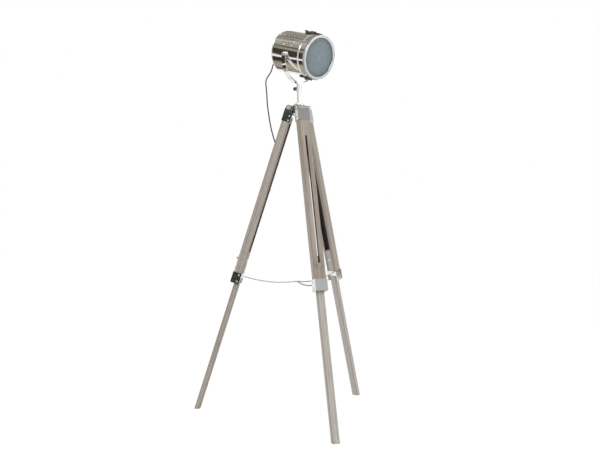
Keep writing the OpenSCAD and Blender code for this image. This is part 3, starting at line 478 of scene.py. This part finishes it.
def metal(name, tint, dull, patches, bump):
    """A metal with its own colour and polish."""
    material, source = finish_with(name, metal_group, bump=bump, distance=0.0002, Metallic=1.0)
    source.inputs["Tint"].default_value = (*tint, 1.0)
    source.inputs["Dull"].default_value = dull
    source.inputs["Patches"].default_value = patches
    return material


chrome = metal("chrome", (0.83, 0.82, 0.81), 0.05, 0.05, 0.015)
nickel = metal("nickel", (0.62, 0.61, 0.59), 0.20, 0.12, 0.05)
dark_steel = metal("dark_steel", (0.15, 0.145, 0.145), 0.26, 0.16, 0.08)
chain_steel = metal("chain_steel", (0.30, 0.30, 0.295), 0.38, 0.15, 0.05)
satin = metal("satin_silver", (0.60, 0.625, 0.63), 0.34, 0.08, 0.05)
bright = metal("bright_rivet", (0.92, 0.92, 0.91), 0.36, 0.06, 0.03)
spun = metal("spun_aluminium", (0.86, 0.86, 0.85), 0.22, 0.08, 0.05)

# %% [markdown]
# ### Plastic, sheath and glass
# Moulded plastic has a fine spark-eroded grain. The cord's sheath is smoother and a little greasy.
# The lens is frosted: it scatters what falls on it and keeps a soft sheen. Its colour carries painted
# shade that darkens it towards the rim, where it dips behind the bezel and lies in the bezel's shadow.

# %% Plastics and glass
def make_plastic_group():
    """A dark colour with a trace of dust, and a fine even grain."""
    group, source = new_group("moulded_plastic", Tint=(0.02, 0.02, 0.02, 1), Dull=0.45)
    v = source.outputs["Vector"]
    grain = stretched_noise(group, v, (1600, 1600, 1600), 2.0, 0.5)
    dust = stretched_noise(group, v, (40, 40, 40), 3.0, 0.6)
    shade = mix_colour(group, math_node(group, "MULTIPLY", dust, 0.08), source.outputs["Tint"],
                       (0.35, 0.34, 0.32))
    rough = math_node(group, "ADD", source.outputs["Dull"], math_node(group, "MULTIPLY", dust, 0.15))
    return give_out(group, shade, rough, grain)


plastic_group = make_plastic_group()


def plastic(name, tint, dull, bump):
    """A plastic with its own colour and sheen."""
    material, source = finish_with(name, plastic_group, bump=bump, distance=0.0002)
    source.inputs["Tint"].default_value = (*tint, 1.0)
    source.inputs["Dull"].default_value = dull
    return material


black_plastic = plastic("black_plastic", (0.020, 0.020, 0.022), 0.42, 0.25)
sheath = plastic("cord_sheath", (0.026, 0.027, 0.029), 0.46, 0.10)
opal = plastic("opal_glass", (0.80, 0.79, 0.75), 0.15, 0.0)


def drum_vector(tree, place):
    """Object coordinates turned into the drum's own, so that its axis becomes Z."""
    return moved_back(tree, place.outputs["Object"], [
        ((0, -AXIS_Y * MM, -HEAD_HEIGHT * MM), (0, 0, 0)), ((0, 0, 0), (0, 0, -HEAD_TURN)),
        ((0, 0, 0), (-HEAD_TILT, 0, 0)), ((0, 0, -HEAD_DROP * MM), (0, 0, 0)),
        ((0, 0, 0), (-math.pi / 2, 0, 0))])


LENS_R = 0.072


def make_frost_and_rim_shade_group():
    """Grey-green glass with painted shade towards its rim, where the bezel shadows it: the painted
    shade follows the distance from the axis, as a share of LENS_R."""
    group, source = new_group("frosted_lens_rim_shade")
    v = source.outputs["Vector"]
    flat = add(group, "VectorMath", [(v, 0)], operation="MULTIPLY")
    flat.inputs[1].default_value = (1, 1, 0)
    reach = add(group, "VectorMath", [(flat.outputs[0], 0)], operation="LENGTH").outputs["Value"]
    cloud = stretched_noise(group, v, (14, 14, 14), 3.0, 0.5)
    tone = math_node(group, "ADD", math_node(group, "MULTIPLY", reach, 1 / LENS_R),
                     math_node(group, "MULTIPLY", math_node(group, "SUBTRACT", cloud, 0.5), 0.25))
    # The outer stops are painted shade: the rim is darkened where the bezel shadows the glass.
    shade = ramp(group, tone, [(0.0, (0.198, 0.262, 0.278)), (0.70, (0.178, 0.236, 0.248)),
                               (0.93, (0.134, 0.176, 0.182)), (1.0, (0.085, 0.106, 0.110))])
    grain = stretched_noise(group, v, (900, 900, 900), 2.0, 0.6)
    rough = math_node(group, "ADD", math_node(group, "MULTIPLY", grain, 0.10), 0.34)
    return give_out(group, shade, rough, grain)


frost, _ = finish_with("frosted_glass", make_frost_and_rim_shade_group(), drum_vector, bump=0.03, distance=0.0002,
                       Coat_Weight=0.25, Coat_Roughness=0.18)

# %% [markdown]
# ### Who wears what
# Every solid that stays visible gets one finish. What a leg has is listed once for all three legs.

# %% Finishes go on the CAD nodes
def per_leg(*parts):
    """Node names of the given parts on each leg."""
    return [f"{leg}_{part}" for leg in TURNS for part in parts]


FINISH = {
    chrome: ["hub", "stem", "yoke", "yoke_socket", "drum", "rear_cover", "front_collar",
             *per_leg("leg_cap", "leg_bracket")],
    chain_steel: ["chain_ring", *per_leg("chain")],
    dark_steel: ["latch_base", "latch_lever", "latch_bail", "latch_keeper", "hinge_base",
                 "hinge_leaf", "hinge_pin", "stem_thumbscrew"],
    nickel: ["hub_screws", "pivot_bolts",
             *per_leg("hinge_bolt", "leg_screws", "clamp_bolt", "wing_nut")],
    satin: ["bezel"],
    spun: ["reflector"],
    frost: ["lens"],
    opal: ["bulb"],
    black_plastic: ["lamp_holder", "cord_gland", "cord_ties", "switch_body", "switch_rocker", "plug"],
    sheath: ["cord_tilt", "cord_pan", "cord_fold", "cord_leg", "cord_hank"],
}
for material, nodes in FINISH.items():
    for node in nodes:
        dress(node, material)
print("finished nodes", sum(len(nodes) for nodes in FINISH.values()))

# %% [markdown]
# ## The supply cord
# The cord leaves the gland behind the drum, drops in one bow and reaches the left leg, where two
# straps hold it. It is one smooth curve, cut where a joint bends it: at the tilt axis, at the turning
# yoke and at the leg's hinge. Each cut end meets the next face to face.

# %% The cord's route
CORD_R = 2.5
CORD_X, CORD_Y = -27.7, -3.5
gland_mouth = from_drum([0, -45, -95])
gland_out = from_drum([0, -45, -112])
fall = np.array([
    [-60, 120.5, 1389], [-64, 130.5, 1378], [-69, 135.5, 1356], [-83, 141, 1331], [-89, 142, 1314],
    [-89, 136.6, 1286], [-89, 128.5, 1262], [-90.5, 116, 1222], [-88, 96.5, 1162], [-83.5, 84.5, 1121],
    [-76.5, 73.5, 1084], [-72, 67.5, 1063]]) + [0, AXIS_Y, 0]
SWITCH_X, SWITCH_S, SWITCH_L = -30.8, 218, 58
on_leg = from_leg([[CORD_X, CORD_Y - 1, -177], [CORD_X, CORD_Y, -194],
                   [SWITCH_X, CORD_Y, -SWITCH_S - 1]], "left")
route = np.vstack([gland_mouth, gland_out, fall, on_leg])
STEPS = 8
line = smooth_line(route, STEPS)
cuts = {"tilt": (0, 5 * STEPS), "pan": (5 * STEPS, 10 * STEPS), "fold": (10 * STEPS, len(line) - 1)}
print("free cord", round(length_of(line)), "mm")


def cord_stretch(name, nodes, far_end="object", **more):
    """One cut of the route as a round tube; the CAD nodes it stands for are hidden."""
    first, last = cuts[name]
    path = line[first:last + 1]
    tube = piece(f"cord_{name}_sheath", [(sweep(path, CORD_R, 16), False)], sheath)
    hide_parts(*nodes)
    return tube, path


tilt_cord, tilt_path = cord_stretch("tilt", ["cord_tilt"])
pan_cord, pan_path = cord_stretch("pan", ["cord_pan"])
fold_cord, fold_path = cord_stretch("fold", ["cord_fold", "cord_leg"], with_pieces=["switch_body"])
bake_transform(tilt_cord)
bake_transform(pan_cord)
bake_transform(fold_cord)

# %% [markdown]
# ## The tied hank
# Spare cord is wound into a slim hank behind the left board, where the photograph can't see it. Each
# turn is an oval drawn in at its waist by the strap, and lies one cord's width outside the last.

# %% The hank
HANK_S, HANK_L, HANK_W, HANK_TURNS, HANK_STEP = 372, 112, 30, 5, 5.5
BOARD_SIDE, HANK_GAP = -22.0, 4.8
hank_x0 = BOARD_SIDE - HANK_GAP - CORD_R
hank_x1 = hank_x0 - HANK_STEP * (HANK_TURNS + 0.75)
end_r, waist = HANK_W / 2, CORD_R + 0.4
HANK_START, HANK_END, TURN_STEP = 75, HANK_TURNS * 360 + 91, 7.5
t = np.radians(np.arange(HANK_START, HANK_END, TURN_STEP))
s = -HANK_L / 2 * np.cos(t)
straight = HANK_L / 2 - end_r
half = np.where(np.abs(s) > straight,
                end_r * np.sqrt(np.clip(1 - ((np.abs(s) - straight) / end_r) ** 2, 0, None)),
                end_r - (end_r - waist) * np.cos(np.pi / 2 * np.clip(np.abs(s) / straight, 0, 1)) ** 2)
loops = np.stack([hank_x0 - HANK_STEP * t / (2 * np.pi),
                  CORD_Y + np.where(np.sin(t) >= 0, 1, -1) * half, -HANK_S - s], -1)
PLUG_S, PLUG_X = 474, -29.3
lead_in = np.array([
    [SWITCH_X, CORD_Y, -SWITCH_S - SWITCH_L + 1], [SWITCH_X + 0.3, CORD_Y, -285],
    [hank_x0 - 0.6, CORD_Y + 1, -300], [hank_x0 - 0.4, CORD_Y + 5, -315],
    [hank_x0 - 0.5, CORD_Y + 8, -330], [hank_x0 - 0.8, CORD_Y + 6, -345]])
tail = np.array([
    [hank_x1 + 1.5, CORD_Y + 4.5, -385], [hank_x1 - 0.5, CORD_Y + 6, -400],
    [hank_x1 - 1, CORD_Y + 5, -418], [hank_x1 + 1, CORD_Y + 3, -432],
    [hank_x1 + 7, CORD_Y + 1, -445], [PLUG_X - 5, CORD_Y, -459], [PLUG_X, CORD_Y, -PLUG_S + 1]])
coarse = np.vstack([lead_in, loops[::2], tail])
hank_path = from_leg(smooth_line(coarse, 3), "left")
hank = piece("cord_hank_winding", [(sweep(hank_path, CORD_R, 14), False)], sheath)
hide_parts("cord_hank")
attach(hank, "left_leg")
print("hank", round(length_of(hank_path)), "mm, whole cord",
      round(length_of(hank_path) + length_of(line) + SWITCH_L), "mm")

# %% [markdown]
# ## Spreader chain
# Three runs of welded oval links meet at a ring and keep the legs from sliding apart. A run hangs in a
# shallow bow, so its links sit on a parabola, each turned a quarter against the last. When its leg
# folds, the run goes slack.

# %% One link
WIRE_R, BEND_R, HALF_STRAIGHT = 0.7, 1.8, 2.0


def link_grid(bend_steps=9, sides=8):
    """A tube round an oval: two half circles of radius BEND_R, HALF_STRAIGHT from the middle."""
    a = np.linspace(0, np.pi, bend_steps)
    a = np.concatenate([a, a + np.pi])
    middle = np.where(np.arange(len(a)) < bend_steps, HALF_STRAIGHT, -HALF_STRAIGHT)
    out = np.stack([np.cos(a), 0 * a, np.sin(a)], -1)
    centre = BEND_R * out + np.stack([0 * a, 0 * a, middle], -1)
    f = np.linspace(0, 2 * np.pi, sides, endpoint=False)
    side = np.array([0, 1.0, 0])
    return centre[:, None] + WIRE_R * (np.cos(f)[None, :, None] * out[:, None]
                                       + np.sin(f)[None, :, None] * side)


# %% Three runs of chain
EYE_IN, EYE_DOWN = 30.4, 684.0
EYE = np.array([0, EYE_IN, -EYE_DOWN])
EYE_Z = FLOOR_TO_HINGE - EYE_IN * math.sin(LEAN) - EYE_DOWN * math.cos(LEAN)
RING_Z, RING_R, DIP, HOOK_R, PITCH = EYE_Z - 14.0, 6.0, 11.0, 0.9, 6.05
REACH = HALF_STRAIGHT + BEND_R - WIRE_R - HOOK_R - 0.1


def chain_run(leg):
    """Links along z = ring + rise u - 4 dip u (1 - u), where u goes from 0 at the ring to 1."""
    eye = turned(EYE, 0, -LEAN) + [0, -HINGE_OUT, FLOOR_TO_HINGE]
    span, rise = -eye[1] - RING_R, eye[2] - RING_Z
    at = lambda u: np.stack([0 * u, -(RING_R + span * u),
                             RING_Z + rise * u - 4 * DIP * u * (1 - u)], -1)
    slope_at = lambda u: np.arctan2(rise - 4 * DIP * (1 - 2 * u), span)
    first, last = REACH * np.cos(slope_at(0)) / span, 1 - REACH * np.cos(slope_at(1)) / span
    length = np.linalg.norm(np.diff(at(np.array([first, 0.5, last])), axis=0), axis=1).sum()
    gaps = 2 * math.ceil(length / PITCH / 2 + 0.5) - 1
    u = np.linspace(first, last, gaps + 1)
    slope = slope_at(u)
    grids = []
    for k, (place, angle) in enumerate(zip(at(u), slope)):
        link = turned(link_grid(), 0, np.pi / 2)
        if k % 2 == 0:
            link = turned(link, 1, np.pi / 2)
        link = turned(link, 0, -angle) + place
        grids.append((turned(link, 2, TURNS[leg]) + [0, AXIS_Y, 0], True))
    return grids


for leg in TURNS:
    run = piece(f"{leg}_chain_links", chain_run(leg), chain_steel, crease=80)
    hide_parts(f"{leg}_chain")
    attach(run, "hub")
    spread, folded = from_leg(EYE, leg), from_leg(EYE, leg, LEAN - FOLD)
    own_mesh(run)

# %% [markdown]
# ## Small fixings
# The brackets are held by cross-head screws. A head is a low dome with a cross sunk into it: its
# height is the dome's height less a depth that is full where either arm of the cross lies.

# %% Cross-head screws
def smooth_step(x, low, high):
    """0 below low, 1 above high, with a soft bend between: 3 t^2 - 2 t^3."""
    t = np.clip((x - low) / (high - low), 0, 1)
    return t * t * (3 - 2 * t)


def cross_head(radius, height, twist, rings=14, sides=48):
    """Rows of a screw head from its middle to its rim and down its edge, along +Z."""
    r = np.concatenate([np.linspace(0.02, 0.62, rings), np.linspace(0.68, 1.0, 6)]) * radius
    a = np.linspace(0, 2 * np.pi, sides, endpoint=False)
    x, y = r[:, None] * np.cos(a), r[:, None] * np.sin(a)
    dome = height * np.sqrt(np.clip(1 - (r[:, None] / radius) ** 2 * 0.86, 0, None)) + 0 * x
    u, v = x * np.cos(twist) - y * np.sin(twist), x * np.sin(twist) + y * np.cos(twist)
    arm = lambda p, q: (1 - smooth_step(np.abs(p), 0.10 * radius, 0.17 * radius)) * (
        1 - smooth_step(np.abs(q), 0.46 * radius, 0.56 * radius))
    z = dome - 0.55 * height * np.maximum(arm(u, v), arm(v, u))
    top = np.stack([x, y, z], -1)
    base = top[-1:].copy()
    base[..., 2] = -0.2
    return np.concatenate([top, base])


SCREW_R, SCREW_H, SCREW_Y, CHEEK_X = 3.2, 1.5, 12.4, 24
SCREW_DOWN = (30, 48, 683, 709)


def leg_screw_heads(leg):
    """Four heads on each cheek: two through the top bracket and two through the bottom one."""
    grids = []
    for k, down in enumerate(SCREW_DOWN):
        for side in (-1, 1):
            head = cross_head(SCREW_R, SCREW_H, 0.5 + 1.7 * k + side)
            head = turned(head, 1, side * np.pi / 2) + [side * CHEEK_X, SCREW_Y, -down]
            grids.append((from_leg(head, leg), False))
    return grids


for leg in TURNS:
    heads = piece(f"{leg}_screw_heads", leg_screw_heads(leg), nickel, crease=50)
    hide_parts(f"{leg}_leg_screws")
    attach(heads, f"{leg}_leg")

# %% [markdown]
# ## Draw latch
# The latch on top of the drum is pressed from sheet: a frame with two tall cheeks, and a lever with
# folded flanges, which make it look much stouter than its plate. Both are outlines in the plane
# square to the pivot, carried sideways with rounded edges. They stay between the bail's arms.

# %% The latch's frame and lever
SEAM_Z, DRUM_R = 71.0, 80.0
LEVER_Z, LEVER_Y = SEAM_Z - 18, DRUM_R + 8
BAIL_Z, BAIL_Y = LEVER_Z - 11, DRUM_R + 6.5


def pressed(outline, x0, x1, soft=0.45):
    """A plate: the outline (y, z) is repeated along x, drawn in by `soft` at both faces."""
    p = np.asarray(outline, float)
    along = np.roll(p, -1, axis=0) - np.roll(p, 1, axis=0)
    along /= np.linalg.norm(along, axis=1, keepdims=True)
    area = np.sum(p[:, 0] * np.roll(p[:, 1], -1) - p[:, 1] * np.roll(p[:, 0], -1))
    inward = np.stack([-along[:, 1], along[:, 0]], -1) * np.sign(area)
    rows = [(x0, soft), (x0 + 0.3 * soft, 0.3 * soft), (x0 + soft, 0), (x1 - soft, 0),
            (x1 - 0.3 * soft, 0.3 * soft), (x1, soft)]
    return np.stack([np.column_stack([np.full(len(p), x), p + inward * d]) for x, d in rows])


def arc(y, z, radius, first, last, steps=9):
    """Points (y, z) on a circle, by angle from +y towards +z."""
    a = np.radians(np.linspace(first, last, steps))
    return np.stack([y + radius * np.cos(a), z + radius * np.sin(a)], -1)


def dome(radius, height, rings=6, sides=20):
    """Half an oval from its pole down to its rim, with a short skirt below."""
    a = np.linspace(0.06, np.pi / 2, rings)
    skirt = [(radius, -0.6)]
    return lathe(np.vstack([np.column_stack([radius * np.sin(a), height * np.cos(a)]), skirt]), sides)


CHEEK_IN, CHEEK_OUT, FLOOR_HALF, STUD_X = 8.0, 10.0, 10.9, 4.5
cheek = np.vstack([arc(LEVER_Y, LEVER_Z, 4.6, 75, -60, 10), [[DRUM_R + 3.2, LEVER_Z - 33]],
                   [[DRUM_R + 0.3, LEVER_Z - 33.6]], [[DRUM_R + 0.3, LEVER_Z + 9.6]],
                   [[DRUM_R + 2.0, LEVER_Z + 9.4]]])
floor_plate = np.array([[DRUM_R - 0.5, LEVER_Z - 33.8], [DRUM_R - 0.5, LEVER_Z + 9.8],
                        [DRUM_R + 1.7, LEVER_Z + 9.8], [DRUM_R + 1.7, LEVER_Z - 33.8]])
frame_parts = [pressed(cheek, CHEEK_IN, CHEEK_OUT), pressed(cheek, -CHEEK_OUT, -CHEEK_IN),
               pressed(floor_plate, -FLOOR_HALF, FLOOR_HALF)]
for x in (-STUD_X, STUD_X):
    stud = turned(dome(2.0, 1.1), 0, -np.pi / 2)
    frame_parts.append(stud + [x, DRUM_R + 1.7, LEVER_Z - 27])
latch_frame = piece("latch_frame", [(from_drum(g), False) for g in frame_parts], dark_steel,
                    crease=40)
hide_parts("latch_base")
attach(latch_frame, "head")

BLADE_HALF, FLANGE_IN, FLANGE_OUT = 6.4, 6.2, 7.6
blade = np.vstack([arc(LEVER_Y, LEVER_Z, 3.4, 60, -110, 12), [[BAIL_Y - 2.4, BAIL_Z + 1.5]],
                   arc(BAIL_Y, BAIL_Z, 3.0, 180, 250, 5), [[LEVER_Y - 1.2, BAIL_Z - 5]],
                   [[LEVER_Y - 1.4, LEVER_Z - 36]],
                   arc(LEVER_Y + 1.6, LEVER_Z - 39.4, 2.3, 210, 400, 9),
                   [[LEVER_Y + 1.4, LEVER_Z - 34]], [[LEVER_Y + 1.4, LEVER_Z - 4]]])
flange = np.array([[LEVER_Y + 1.2, LEVER_Z - 3], [LEVER_Y + 1.2, LEVER_Z - 37],
                   [LEVER_Y - 2.2, LEVER_Z - 37.5], [LEVER_Y - 4.9, LEVER_Z - 34],
                   [LEVER_Y - 5.3, LEVER_Z - 15], [LEVER_Y - 3.2, LEVER_Z - 2]])
pin_end = [(0.3, 10.9), (1.6, 10.7), (2.6, 10.1), (2.6, 9.95), (1.7, 9.9)]
pin = pin_end + [(r, -x) for r, x in reversed(pin_end)]
lever_parts = [pressed(blade, -BLADE_HALF, BLADE_HALF), pressed(flange, FLANGE_IN, FLANGE_OUT),
               pressed(flange, -FLANGE_OUT, -FLANGE_IN),
               turned(lathe(pin, 20), 1, np.pi / 2) + [0, LEVER_Y, LEVER_Z]]
latch_handle = piece("latch_handle", [(from_drum(g), False) for g in lever_parts], dark_steel,
                     crease=40)
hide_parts("latch_lever")
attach(latch_handle, "lever")
print("latch faces", len(latch_frame.data.polygons) + len(latch_handle.data.polygons))

# %% [markdown]
# ## Rivets in the drum
# Three bright rivets on each side hold the reflector's brackets inside. Each is half an oval turned
# about its own axis and set on the drum's wall, at an angle from the top and a distance along it.

# %% Rivets
RIVET_R, RIVET_H = 2.7, 1.5
RIVET_SPOTS = ((73, -18), (73, 22), (60, 28))
rivets = []
for side in (-1, 1):
    for angle, z in RIVET_SPOTS:
        head = turned(dome(RIVET_R, RIVET_H), 0, -np.pi / 2) + [0, DRUM_R + 0.1, z]
        rivets.append((from_drum(turned(head, 2, -side * math.radians(angle))), False))
rivet_heads = piece("drum_rivets", rivets, bright, crease=60)
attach(rivet_heads, "head")
print("rivets", len(rivets))

# %% [markdown]
# ## Wing nuts
# Each wing nut is a turned cone with two cast ears. An ear is a flat oval section carried along an
# outward bend: wide at the tip, narrow at the root, so a thumb can push it.

# %% Wing nuts
def ear(side, sides=20):
    """Ovals across a bent line in the XZ plane: half width w in the plane, half thickness h across."""
    u = np.linspace(0, 1, 16)
    middle = np.stack([side * (3.0 + 10.4 * u ** 0.9), 0 * u, 3.6 + 7.4 * u ** 1.5], -1)
    t = np.gradient(middle, axis=0)
    t /= np.linalg.norm(t, axis=1, keepdims=True)
    n = np.stack([-t[:, 2], 0 * u, t[:, 0]], -1)
    round_end = np.sqrt(np.clip(1 - np.clip((u - 0.72) / 0.28, 0, 1) ** 2, 0.0004, None))
    w = (2.6 + 1.9 * smooth_step(u, 0.15, 0.7)) * round_end
    h = (1.9 - 0.7 * u) * (0.35 + 0.65 * round_end)
    a = np.linspace(0, 2 * np.pi, sides, endpoint=False)
    oval = w[:, None, None] * np.cos(a)[None, :, None] * n[:, None]
    return middle[:, None] + oval + h[:, None, None] * np.sin(a)[None, :, None] * np.array([0, 1.0, 0])


NUT_PROFILE = [(3.05, 0.0), (7.6, 0.0), (8.0, 0.4), (8.0, 1.0), (7.6, 1.4), (6.4, 1.6), (5.4, 3.2),
               (4.8, 6.0), (4.6, 7.6), (4.2, 8.0), (3.05, 8.0)]
BOLT_S, BOARD_OUT = 622.0, -11.6
for leg in TURNS:
    nut = [lathe(NUT_PROFILE), ear(1), ear(-1)]
    nut = [turned(g, 0, np.pi / 2) + [0, BOARD_OUT - 0.3, -BOLT_S] for g in nut]
    wing = piece(f"{leg}_wing", [(from_leg(g, leg), False) for g in nut], nickel, crease=50)
    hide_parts(f"{leg}_wing_nut")
    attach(wing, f"{leg}_wing")

# %% [markdown]
# ## Studio
# The photograph stands on white paper in even light. The world and the floor are white to the
# camera, and two broad lamps light the object from above on both sides. Chrome only looks like
# chrome when it has something dark to show. So screens stand outside the picture, as in a studio,
# and only mirrors see them: banded ones high on the left, on the right and in front, which the drum
# draws out into streaks, grey ones with a darker strip for the stem, dark cards low down and behind
# the camera, and mats on the floor.

# %% World, floor and lamps
def seen_directly(tree):
    """1 for rays that come from the camera, a mirror or through glass, else 0."""
    path = add(tree, "LightPath")
    seen = math_node(tree, "MAXIMUM", path.outputs["Is Camera Ray"], path.outputs["Is Glossy Ray"])
    return math_node(tree, "MAXIMUM", seen, path.outputs["Is Transmission Ray"])


scene = bpy.context.scene
scene.view_settings.view_transform = "Standard"
world = bpy.data.worlds.new("studio")
scene.world = world
world.use_nodes = True
sky = world.node_tree.nodes["Background"]
sky.inputs["Color"].default_value = (1, 1, 1, 1)
strength = add(world.node_tree, "Mix", data_type="FLOAT")
world.node_tree.links.new(seen_directly(world.node_tree), strength.inputs[0])
strength.inputs[2].default_value = 0.62
strength.inputs[3].default_value = 1.0
world.node_tree.links.new(strength.outputs[0], sky.inputs["Strength"])

paper = bpy.data.materials.new("white_paper")
paper.use_nodes = True
tree = paper.node_tree
diffuse = tree.nodes["Principled BSDF"]
diffuse.inputs["Base Color"].default_value = (0.86, 0.86, 0.86, 1)
diffuse.inputs["Roughness"].default_value = 0.9
glow = add(tree, "Emission")
glow.inputs["Strength"].default_value = 1.06
blend = add(tree, "MixShader", [(math_node(tree, "MULTIPLY", seen_directly(tree), 0.90), 0),
                                (diffuse.outputs[0], 1), (glow.outputs[0], 2)])
tree.links.new(blend.outputs[0], tree.nodes["Material Output"].inputs["Surface"])


def staged_sheet(name, corners, material):
    """A sheet from a grid of points in metres; it belongs to the studio."""
    rows, cols = corners.shape[:2]
    faces = [(i * cols + j, i * cols + j + 1, (i + 1) * cols + j + 1, (i + 1) * cols + j)
             for i in range(rows - 1) for j in range(cols - 1)]
    mesh = bpy.data.meshes.new(name)
    mesh.from_pydata(corners.reshape(-1, 3).tolist(), [], faces)
    mesh.materials.append(material)
    sheet = bpy.data.objects.new(name, mesh)
    scene.collection.objects.link(sheet)
    return sheet


def only_in_mirrors(sheet):
    """Hides a sheet from all rays but those from glossy surfaces."""
    sheet.visible_camera = sheet.visible_diffuse = sheet.visible_shadow = False
    sheet.visible_transmission = sheet.visible_volume_scatter = False


def glowing(name, colour_of):
    """A material that gives out the colour that colour_of builds from its coordinates."""
    material = bpy.data.materials.new(name)
    material.use_nodes = True
    tree = material.node_tree
    tree.nodes.remove(tree.nodes["Principled BSDF"])
    light = add(tree, "Emission", [(colour_of(tree), "Color")])
    tree.links.new(light.outputs[0], tree.nodes["Material Output"].inputs["Surface"])
    return material


def arc_sheet(name, turn, half_turn, low, high, radius, material):
    """A sheet bent round the lamp: turn is counted from straight away from the camera, to the left."""
    a = np.radians(np.linspace(turn - half_turn, turn + half_turn, 25))[None, :]
    z = np.linspace(low, high, 17)[:, None]
    a, z = np.broadcast_arrays(a, z)
    sheet = np.stack([-np.sin(a) * radius, np.cos(a) * radius, z], -1)
    return staged_sheet(name, turned(sheet, 2, -CAMERA_TURN) + [0, AXIS_Y * MM, 0], material)


def banded(tree):
    """Grey-brown with dark and pale streaks: a curved mirror draws each blot out into a line."""
    place = add(tree, "TexCoord").outputs["Object"]
    coarse = stretched_noise(tree, place, (0.55, 0.55, 0.75), 3.0, 0.62)
    thin = stretched_noise(tree, place, (1.25, 1.25, 1.7), 4.0, 0.68)
    colour = ramp(tree, coarse, [(0.32, (0.150, 0.128, 0.105)), (0.45, (0.345, 0.318, 0.270)),
                                 (0.56, (0.500, 0.475, 0.415)), (0.68, (0.78, 0.76, 0.70))])
    lines = math_node(tree, "MULTIPLY", math_node(tree, "SUBTRACT", thin, 0.525, True), 11.0, True)
    return mix_colour(tree, math_node(tree, "MULTIPLY", lines, 0.88), colour, (0.045, 0.036, 0.028))


def fading(tree):
    """Grey that fades with height."""
    place = add(tree, "TexCoord").outputs["Object"]
    height = add(tree, "SeparateXYZ", [(place, 0)]).outputs[2]
    return ramp(tree, math_node(tree, "DIVIDE", height, 8.0),
                [(0.20, (0.66, 0.66, 0.655)), (0.37, (0.54, 0.54, 0.535)), (0.64, (0.37, 0.365, 0.355)),
                 (0.90, (0.30, 0.295, 0.29))])


def rings(tree):
    """Mats on the floor by their distance from the lamp: olive near it, then dark."""
    place = add(tree, "TexCoord").outputs["Object"]
    reach = add(tree, "VectorMath", [(place, 0)], operation="LENGTH").outputs["Value"]
    mottle = stretched_noise(tree, place, (1.5, 1.5, 1.5), 3.0, 0.6)
    blotch = math_node(tree, "MULTIPLY", math_node(tree, "SUBTRACT", mottle, 0.5), 0.5)
    shifted = math_node(tree, "ADD", reach, blotch)
    return ramp(tree, math_node(tree, "DIVIDE", shifted, 8.0),
                [(0.0, (0.45, 0.42, 0.33)), (0.30, (0.46, 0.43, 0.33)), (0.355, (0.30, 0.275, 0.20)),
                 (0.395, (0.050, 0.040, 0.030)), (0.60, (0.045, 0.035, 0.028))])


def plain(name, colour):
    """A card of one colour."""
    card = glowing(name, lambda tree: add(tree, "RGB").outputs[0])
    card.node_tree.nodes["RGB"].outputs[0].default_value = (*colour, 1)
    return card


staged_sheet("floor", np.array([[(-9, -9, 0), (9, -9, 0)], [(-9, 9, 0), (9, 9, 0)]], float), paper)
bands = glowing("banded_screen", banded)
grey_card = plain("grey_card", (0.58, 0.58, 0.58))
strip_card = plain("dark_card", (0.13, 0.127, 0.125))
# Name, middle and half width in degrees, bottom, top and distance in metres, material
SCREENS = [
    ("high_screen", 55, 85, 2.75, 12.0, 5.0, bands),
    ("right_screen", -95, 60, 3.2, 12.0, 5.6, bands),
    ("front_screen", 172, 33, 4.6, 12.0, 6.2, bands),
    ("left_strip", 91, 5.5, 0.64, 2.75, 5.0, plain("brown_card", (0.055, 0.036, 0.026))),
    ("left_grey", 50, 34, 1.55, 2.74, 5.0, grey_card),
    ("left_stem_strip", 48, 40, 1.84, 2.12, 4.9, strip_card),
    ("right_grey", -50, 34, 1.55, 2.74, 5.0, grey_card),
    ("right_stem_strip", -48, 40, 1.84, 2.12, 4.9, strip_card),
    ("right_olive", -77, 6, 0.02, 1.3, 5.1, plain("olive_card", (0.27, 0.245, 0.19))),
    ("rear_card", 160, 13, 0.02, 1.63, 3.35, plain("black_card", (0.034, 0.033, 0.033))),
    ("front_card", -135, 17, 1.6, 8.5, 5.0, glowing("fading_card", fading)),
]
for screen in SCREENS:
    only_in_mirrors(arc_sheet(*screen))
print("screens", len(SCREENS))

# %% [markdown]
# ### Mats on the floor
# The undersides of the drum and the yoke show the floor. A mat fills the arc that they look at. It
# ends sooner on the side where the lower bracket of a leg would show it.

# %% Floor mats
MAT_NEAR, MAT_SHORT, MAT_FAR, MAT_HIGH = 1.9, 3.9, 5.55, 0.004
MAT_FROM, MAT_TO, GROWS_FROM, GROWS_TO = 20, 118, 52, 62
mat_arc, mat_reach = np.meshgrid(np.linspace(MAT_FROM, MAT_TO, 33), np.linspace(0, 1, 9))
far = np.interp(mat_arc, (GROWS_FROM, GROWS_TO), (MAT_SHORT, MAT_FAR))
mat_reach = MAT_NEAR + mat_reach * (far - MAT_NEAR)
mat_arc = np.radians(mat_arc)
mat = np.stack([-np.sin(mat_arc) * mat_reach, np.cos(mat_arc) * mat_reach,
                MAT_HIGH + 0 * mat_arc], -1)
mat = turned(mat, 2, -CAMERA_TURN) + [0, AXIS_Y * MM, 0]
only_in_mirrors(staged_sheet("floor_mats", mat, glowing("floor_mats", rings)))

# %% Two soft lamps
def soft_lamp(name, place, size, power):
    """A square area lamp aimed at the middle of the object."""
    lamp = bpy.data.lights.new(name, "AREA")
    lamp.shape, lamp.size, lamp.energy = "SQUARE", size, power
    obj = bpy.data.objects.new(name, lamp)
    obj.location = place
    obj.rotation_euler = (Vector((0, 0.1, 0.9)) - Vector(place)).to_track_quat("-Z", "Y").to_euler()
    scene.collection.objects.link(obj)


soft_lamp("key", (-2.6, -2.4, 3.4), 1.8, 62)
soft_lamp("fill", (3.0, -1.6, 2.4), 2.2, 38)
